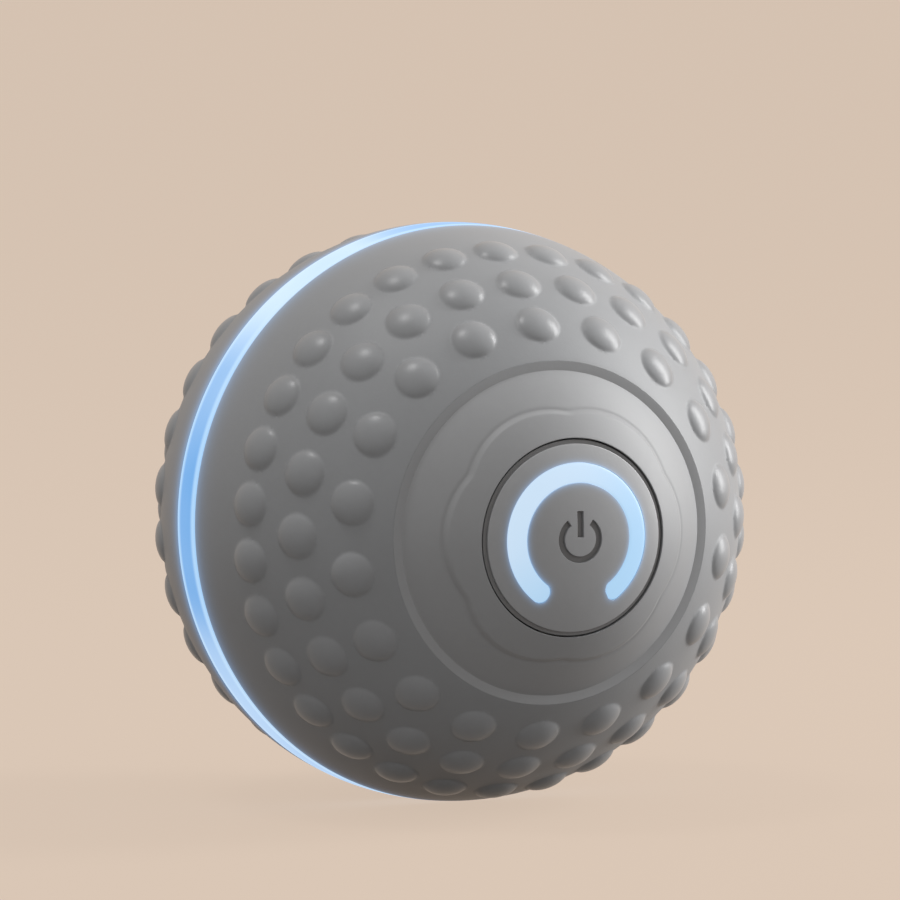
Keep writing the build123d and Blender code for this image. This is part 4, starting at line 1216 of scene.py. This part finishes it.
def make_backdrop(stage):
    """A wide pale floor under the ball."""
    reach, lines = 12, 9
    along = np.linspace(-reach, reach, lines)
    x, y = np.meshgrid(along, along)
    points = np.stack([x, y, np.full_like(x, FLOOR_HEIGHT)], axis=2).reshape(-1, 3)
    low = np.arange(lines - 1)[:, None] * lines + np.arange(lines - 1)[None, :]
    faces = np.stack([low, low + 1, low + lines + 1, low + lines], axis=2).reshape(-1, 4)
    mesh = bpy.data.meshes.new("backdrop")
    mesh.from_pydata(points, [], faces.tolist())
    mesh.shade_smooth()
    mesh.materials.append(backdrop_material(stage))
    floor = add_object("backdrop", mesh)


def backdrop_material(stage):
    """Matte paper: mostly its own colour for the camera, the rest lit, so that the ball's shadow stays."""
    material = bpy.data.materials.new("paper")
    tree = empty_tree(material)
    tint = rgba(stage.backdrop)
    seen = seen_rays(tree)
    paper = add_node(tree, "ShaderNodeBsdfDiffuse", {"Color": blend_colours(tree, seen, PAPER_TONE, tint)})
    plain = add_node(tree, "ShaderNodeEmission", {"Color": tint, "Strength": PAPER_GLOW})
    share_seen = maths(tree, "MULTIPLY", seen, PAPER_SHARE)
    mix = add_node(tree, "ShaderNodeMixShader", {0: share_seen, 1: paper.outputs[0], 2: plain.outputs[0]})
    add_node(tree, "ShaderNodeOutputMaterial", {"Surface": mix.outputs[0]})
    return material


def aim(thing, back):
    """Turns a lamp or the camera so that its back faces a direction."""
    thing.rotation_mode = "QUATERNION"
    thing.rotation_quaternion = back.to_track_quat("Z", "Y")


def add_lamp(name, direction, distance, width, height, power):
    """A soft lamp that shines on the ball from a direction."""
    data = bpy.data.lights.new(name, "AREA")
    data.shape = "RECTANGLE"
    data.energy, data.size, data.size_y = power, width, height
    lamp = add_object(name, data)
    toward = Vector(direction).normalized()
    lamp.location = toward * distance
    aim(lamp, toward)


def add_camera(stage):
    """A long lens at the photograph's angle, with the ball a little under the middle of the picture."""
    data = bpy.data.cameras.new("camera")
    data.lens, data.sensor_width = stage.lens, SENSOR_WIDTH
    camera = add_object("camera", data)
    flat = cos(stage.elevation)
    back = Vector((sin(stage.azimuth) * flat, -cos(stage.azimuth) * flat, sin(stage.elevation)))
    aim(camera, back)
    up = camera.rotation_quaternion @ Vector((0, 1, 0))
    camera.location = back * stage.distance + up * stage.rise
    bpy.context.scene.camera = camera
    bpy.context.scene.view_settings.view_transform = "Standard"


def light_world(stage):
    """Even light from all round. The camera and reflections see the backdrop's colour."""
    world = bpy.data.worlds.new("studio")
    tree = empty_tree(world)
    sky = add_node(tree, "ShaderNodeBackground", {"Color": (1, 1, 1, 1), "Strength": stage.sky})
    plain = add_node(tree, "ShaderNodeBackground", {"Color": rgba(stage.backdrop), "Strength": 1.0})
    mix = add_node(tree, "ShaderNodeMixShader", {0: seen_rays(tree), 1: sky.outputs[0], 2: plain.outputs[0]})
    add_node(tree, "ShaderNodeOutputWorld", {"Surface": mix.outputs[0]})
    bpy.context.scene.world = world


def set_stage(stage):
    """Backdrop, world, the tall lamp at the right, the small one above, and the camera."""
    make_backdrop(stage)
    light_world(stage)
    key_direction, top_direction = (0.927, -0.138, 0.35), (-0.3, 0.04, 0.93)
    key_distance, top_distance, top_width = 0.65, 0.7, 0.16
    add_lamp("key", key_direction, key_distance, stage.key_width, stage.key_height, stage.key)
    add_lamp("top", top_direction, top_distance, top_width, top_width, stage.top)
    add_camera(stage)


# Operators and panel

class DOGBALL_OT_covers(Operator):
    """Make both rubber covers with their rows of soft bumps"""

    bl_idname = "dogball.covers"
    bl_label = "Rubber covers"
    bl_options = {"REGISTER", "UNDO"}

    def execute(self, context):
        make_covers(context.scene.dog_ball)
        return {"FINISHED"}


class DOGBALL_OT_light_ring(Operator):
    """Make the glowing ring between the covers"""

    bl_idname = "dogball.light_ring"
    bl_label = "Light ring"
    bl_options = {"REGISTER", "UNDO"}

    def execute(self, context):
        make_light_ring(context.scene.dog_ball)
        return {"FINISHED"}


class DOGBALL_OT_caps(Operator):
    """Make the domed caps at both poles"""

    bl_idname = "dogball.caps"
    bl_label = "Pole caps"
    bl_options = {"REGISTER", "UNDO"}

    def execute(self, context):
        make_caps(context.scene.dog_ball)
        return {"FINISHED"}


class DOGBALL_OT_button(Operator):
    """Make the power button with its C-shaped light"""

    bl_idname = "dogball.button"
    bl_label = "Power button"
    bl_options = {"REGISTER", "UNDO"}

    def execute(self, context):
        make_button(context.scene.dog_ball)
        make_light_guide(context.scene.dog_ball)
        return {"FINISHED"}


class DOGBALL_OT_charging_end(Operator):
    """Make the charging cover and its stopper"""

    bl_idname = "dogball.charging_end"
    bl_label = "Charging end"
    bl_options = {"REGISTER", "UNDO"}

    def execute(self, context):
        make_charging_end(context.scene.dog_ball)
        return {"FINISHED"}


class DOGBALL_OT_inner_finishes(Operator):
    """Finish the shells, carriage, gears, motor and boards inside the ball"""

    bl_idname = "dogball.inner_finishes"
    bl_label = "Inner finishes"
    bl_options = {"REGISTER", "UNDO"}

    def execute(self, context):
        finish_inner_pieces()
        return {"FINISHED"}


class DOGBALL_OT_stage(Operator):
    """Set the backdrop, lamps and camera"""

    bl_idname = "dogball.stage"
    bl_label = "Stage"
    bl_options = {"REGISTER", "UNDO"}

    def execute(self, context):
        set_stage(context.scene.dog_ball.stage)
        return {"FINISHED"}


class DOGBALL_PT_panel(Panel):
    """Sizes, colours and steps of the dog ball"""

    bl_idname = "DOGBALL_PT_panel"
    bl_label = "Dog ball"
    bl_space_type = "VIEW_3D"
    bl_region_type = "UI"
    bl_category = "Dog ball"

    def draw(self, context):
        layout = self.layout
        ball = context.scene.dog_ball
        for group in (ball.covers, ball.caps, ball.disc, ball.button, ball.plug, ball.finishes, ball.stage):
            box = layout.box()
            for name in group.__annotations__:
                box.prop(group, name)
        for operator in OPERATORS:
            layout.operator(operator.bl_idname)


GROUPS = (CoverSizes, CapSizes, DiscSizes, ButtonSizes, PlugSizes, Finishes, StageSettings, DogBall)
OPERATORS = (
    DOGBALL_OT_covers, DOGBALL_OT_light_ring, DOGBALL_OT_caps, DOGBALL_OT_button,
    DOGBALL_OT_charging_end, DOGBALL_OT_inner_finishes, DOGBALL_OT_stage,
)


def register():
    """Adds the add-on's classes and the scene's settings."""
    for group in (*GROUPS, *OPERATORS, DOGBALL_PT_panel):
        bpy.utils.register_class(group)
    bpy.types.Scene.dog_ball = PointerProperty(type=DogBall)


def unregister():
    """Takes them away again."""
    del bpy.types.Scene.dog_ball
    for group in reversed((*GROUPS, *OPERATORS, DOGBALL_PT_panel)):
        bpy.utils.unregister_class(group)


def main():
    """Builds everything in order."""
    register()
    bpy.ops.dogball.covers()
    bpy.ops.dogball.light_ring()
    bpy.ops.dogball.caps()
    bpy.ops.dogball.button()
    bpy.ops.dogball.charging_end()
    bpy.ops.dogball.inner_finishes()
    bpy.ops.dogball.stage()


if __name__ == "__main__":
    main()
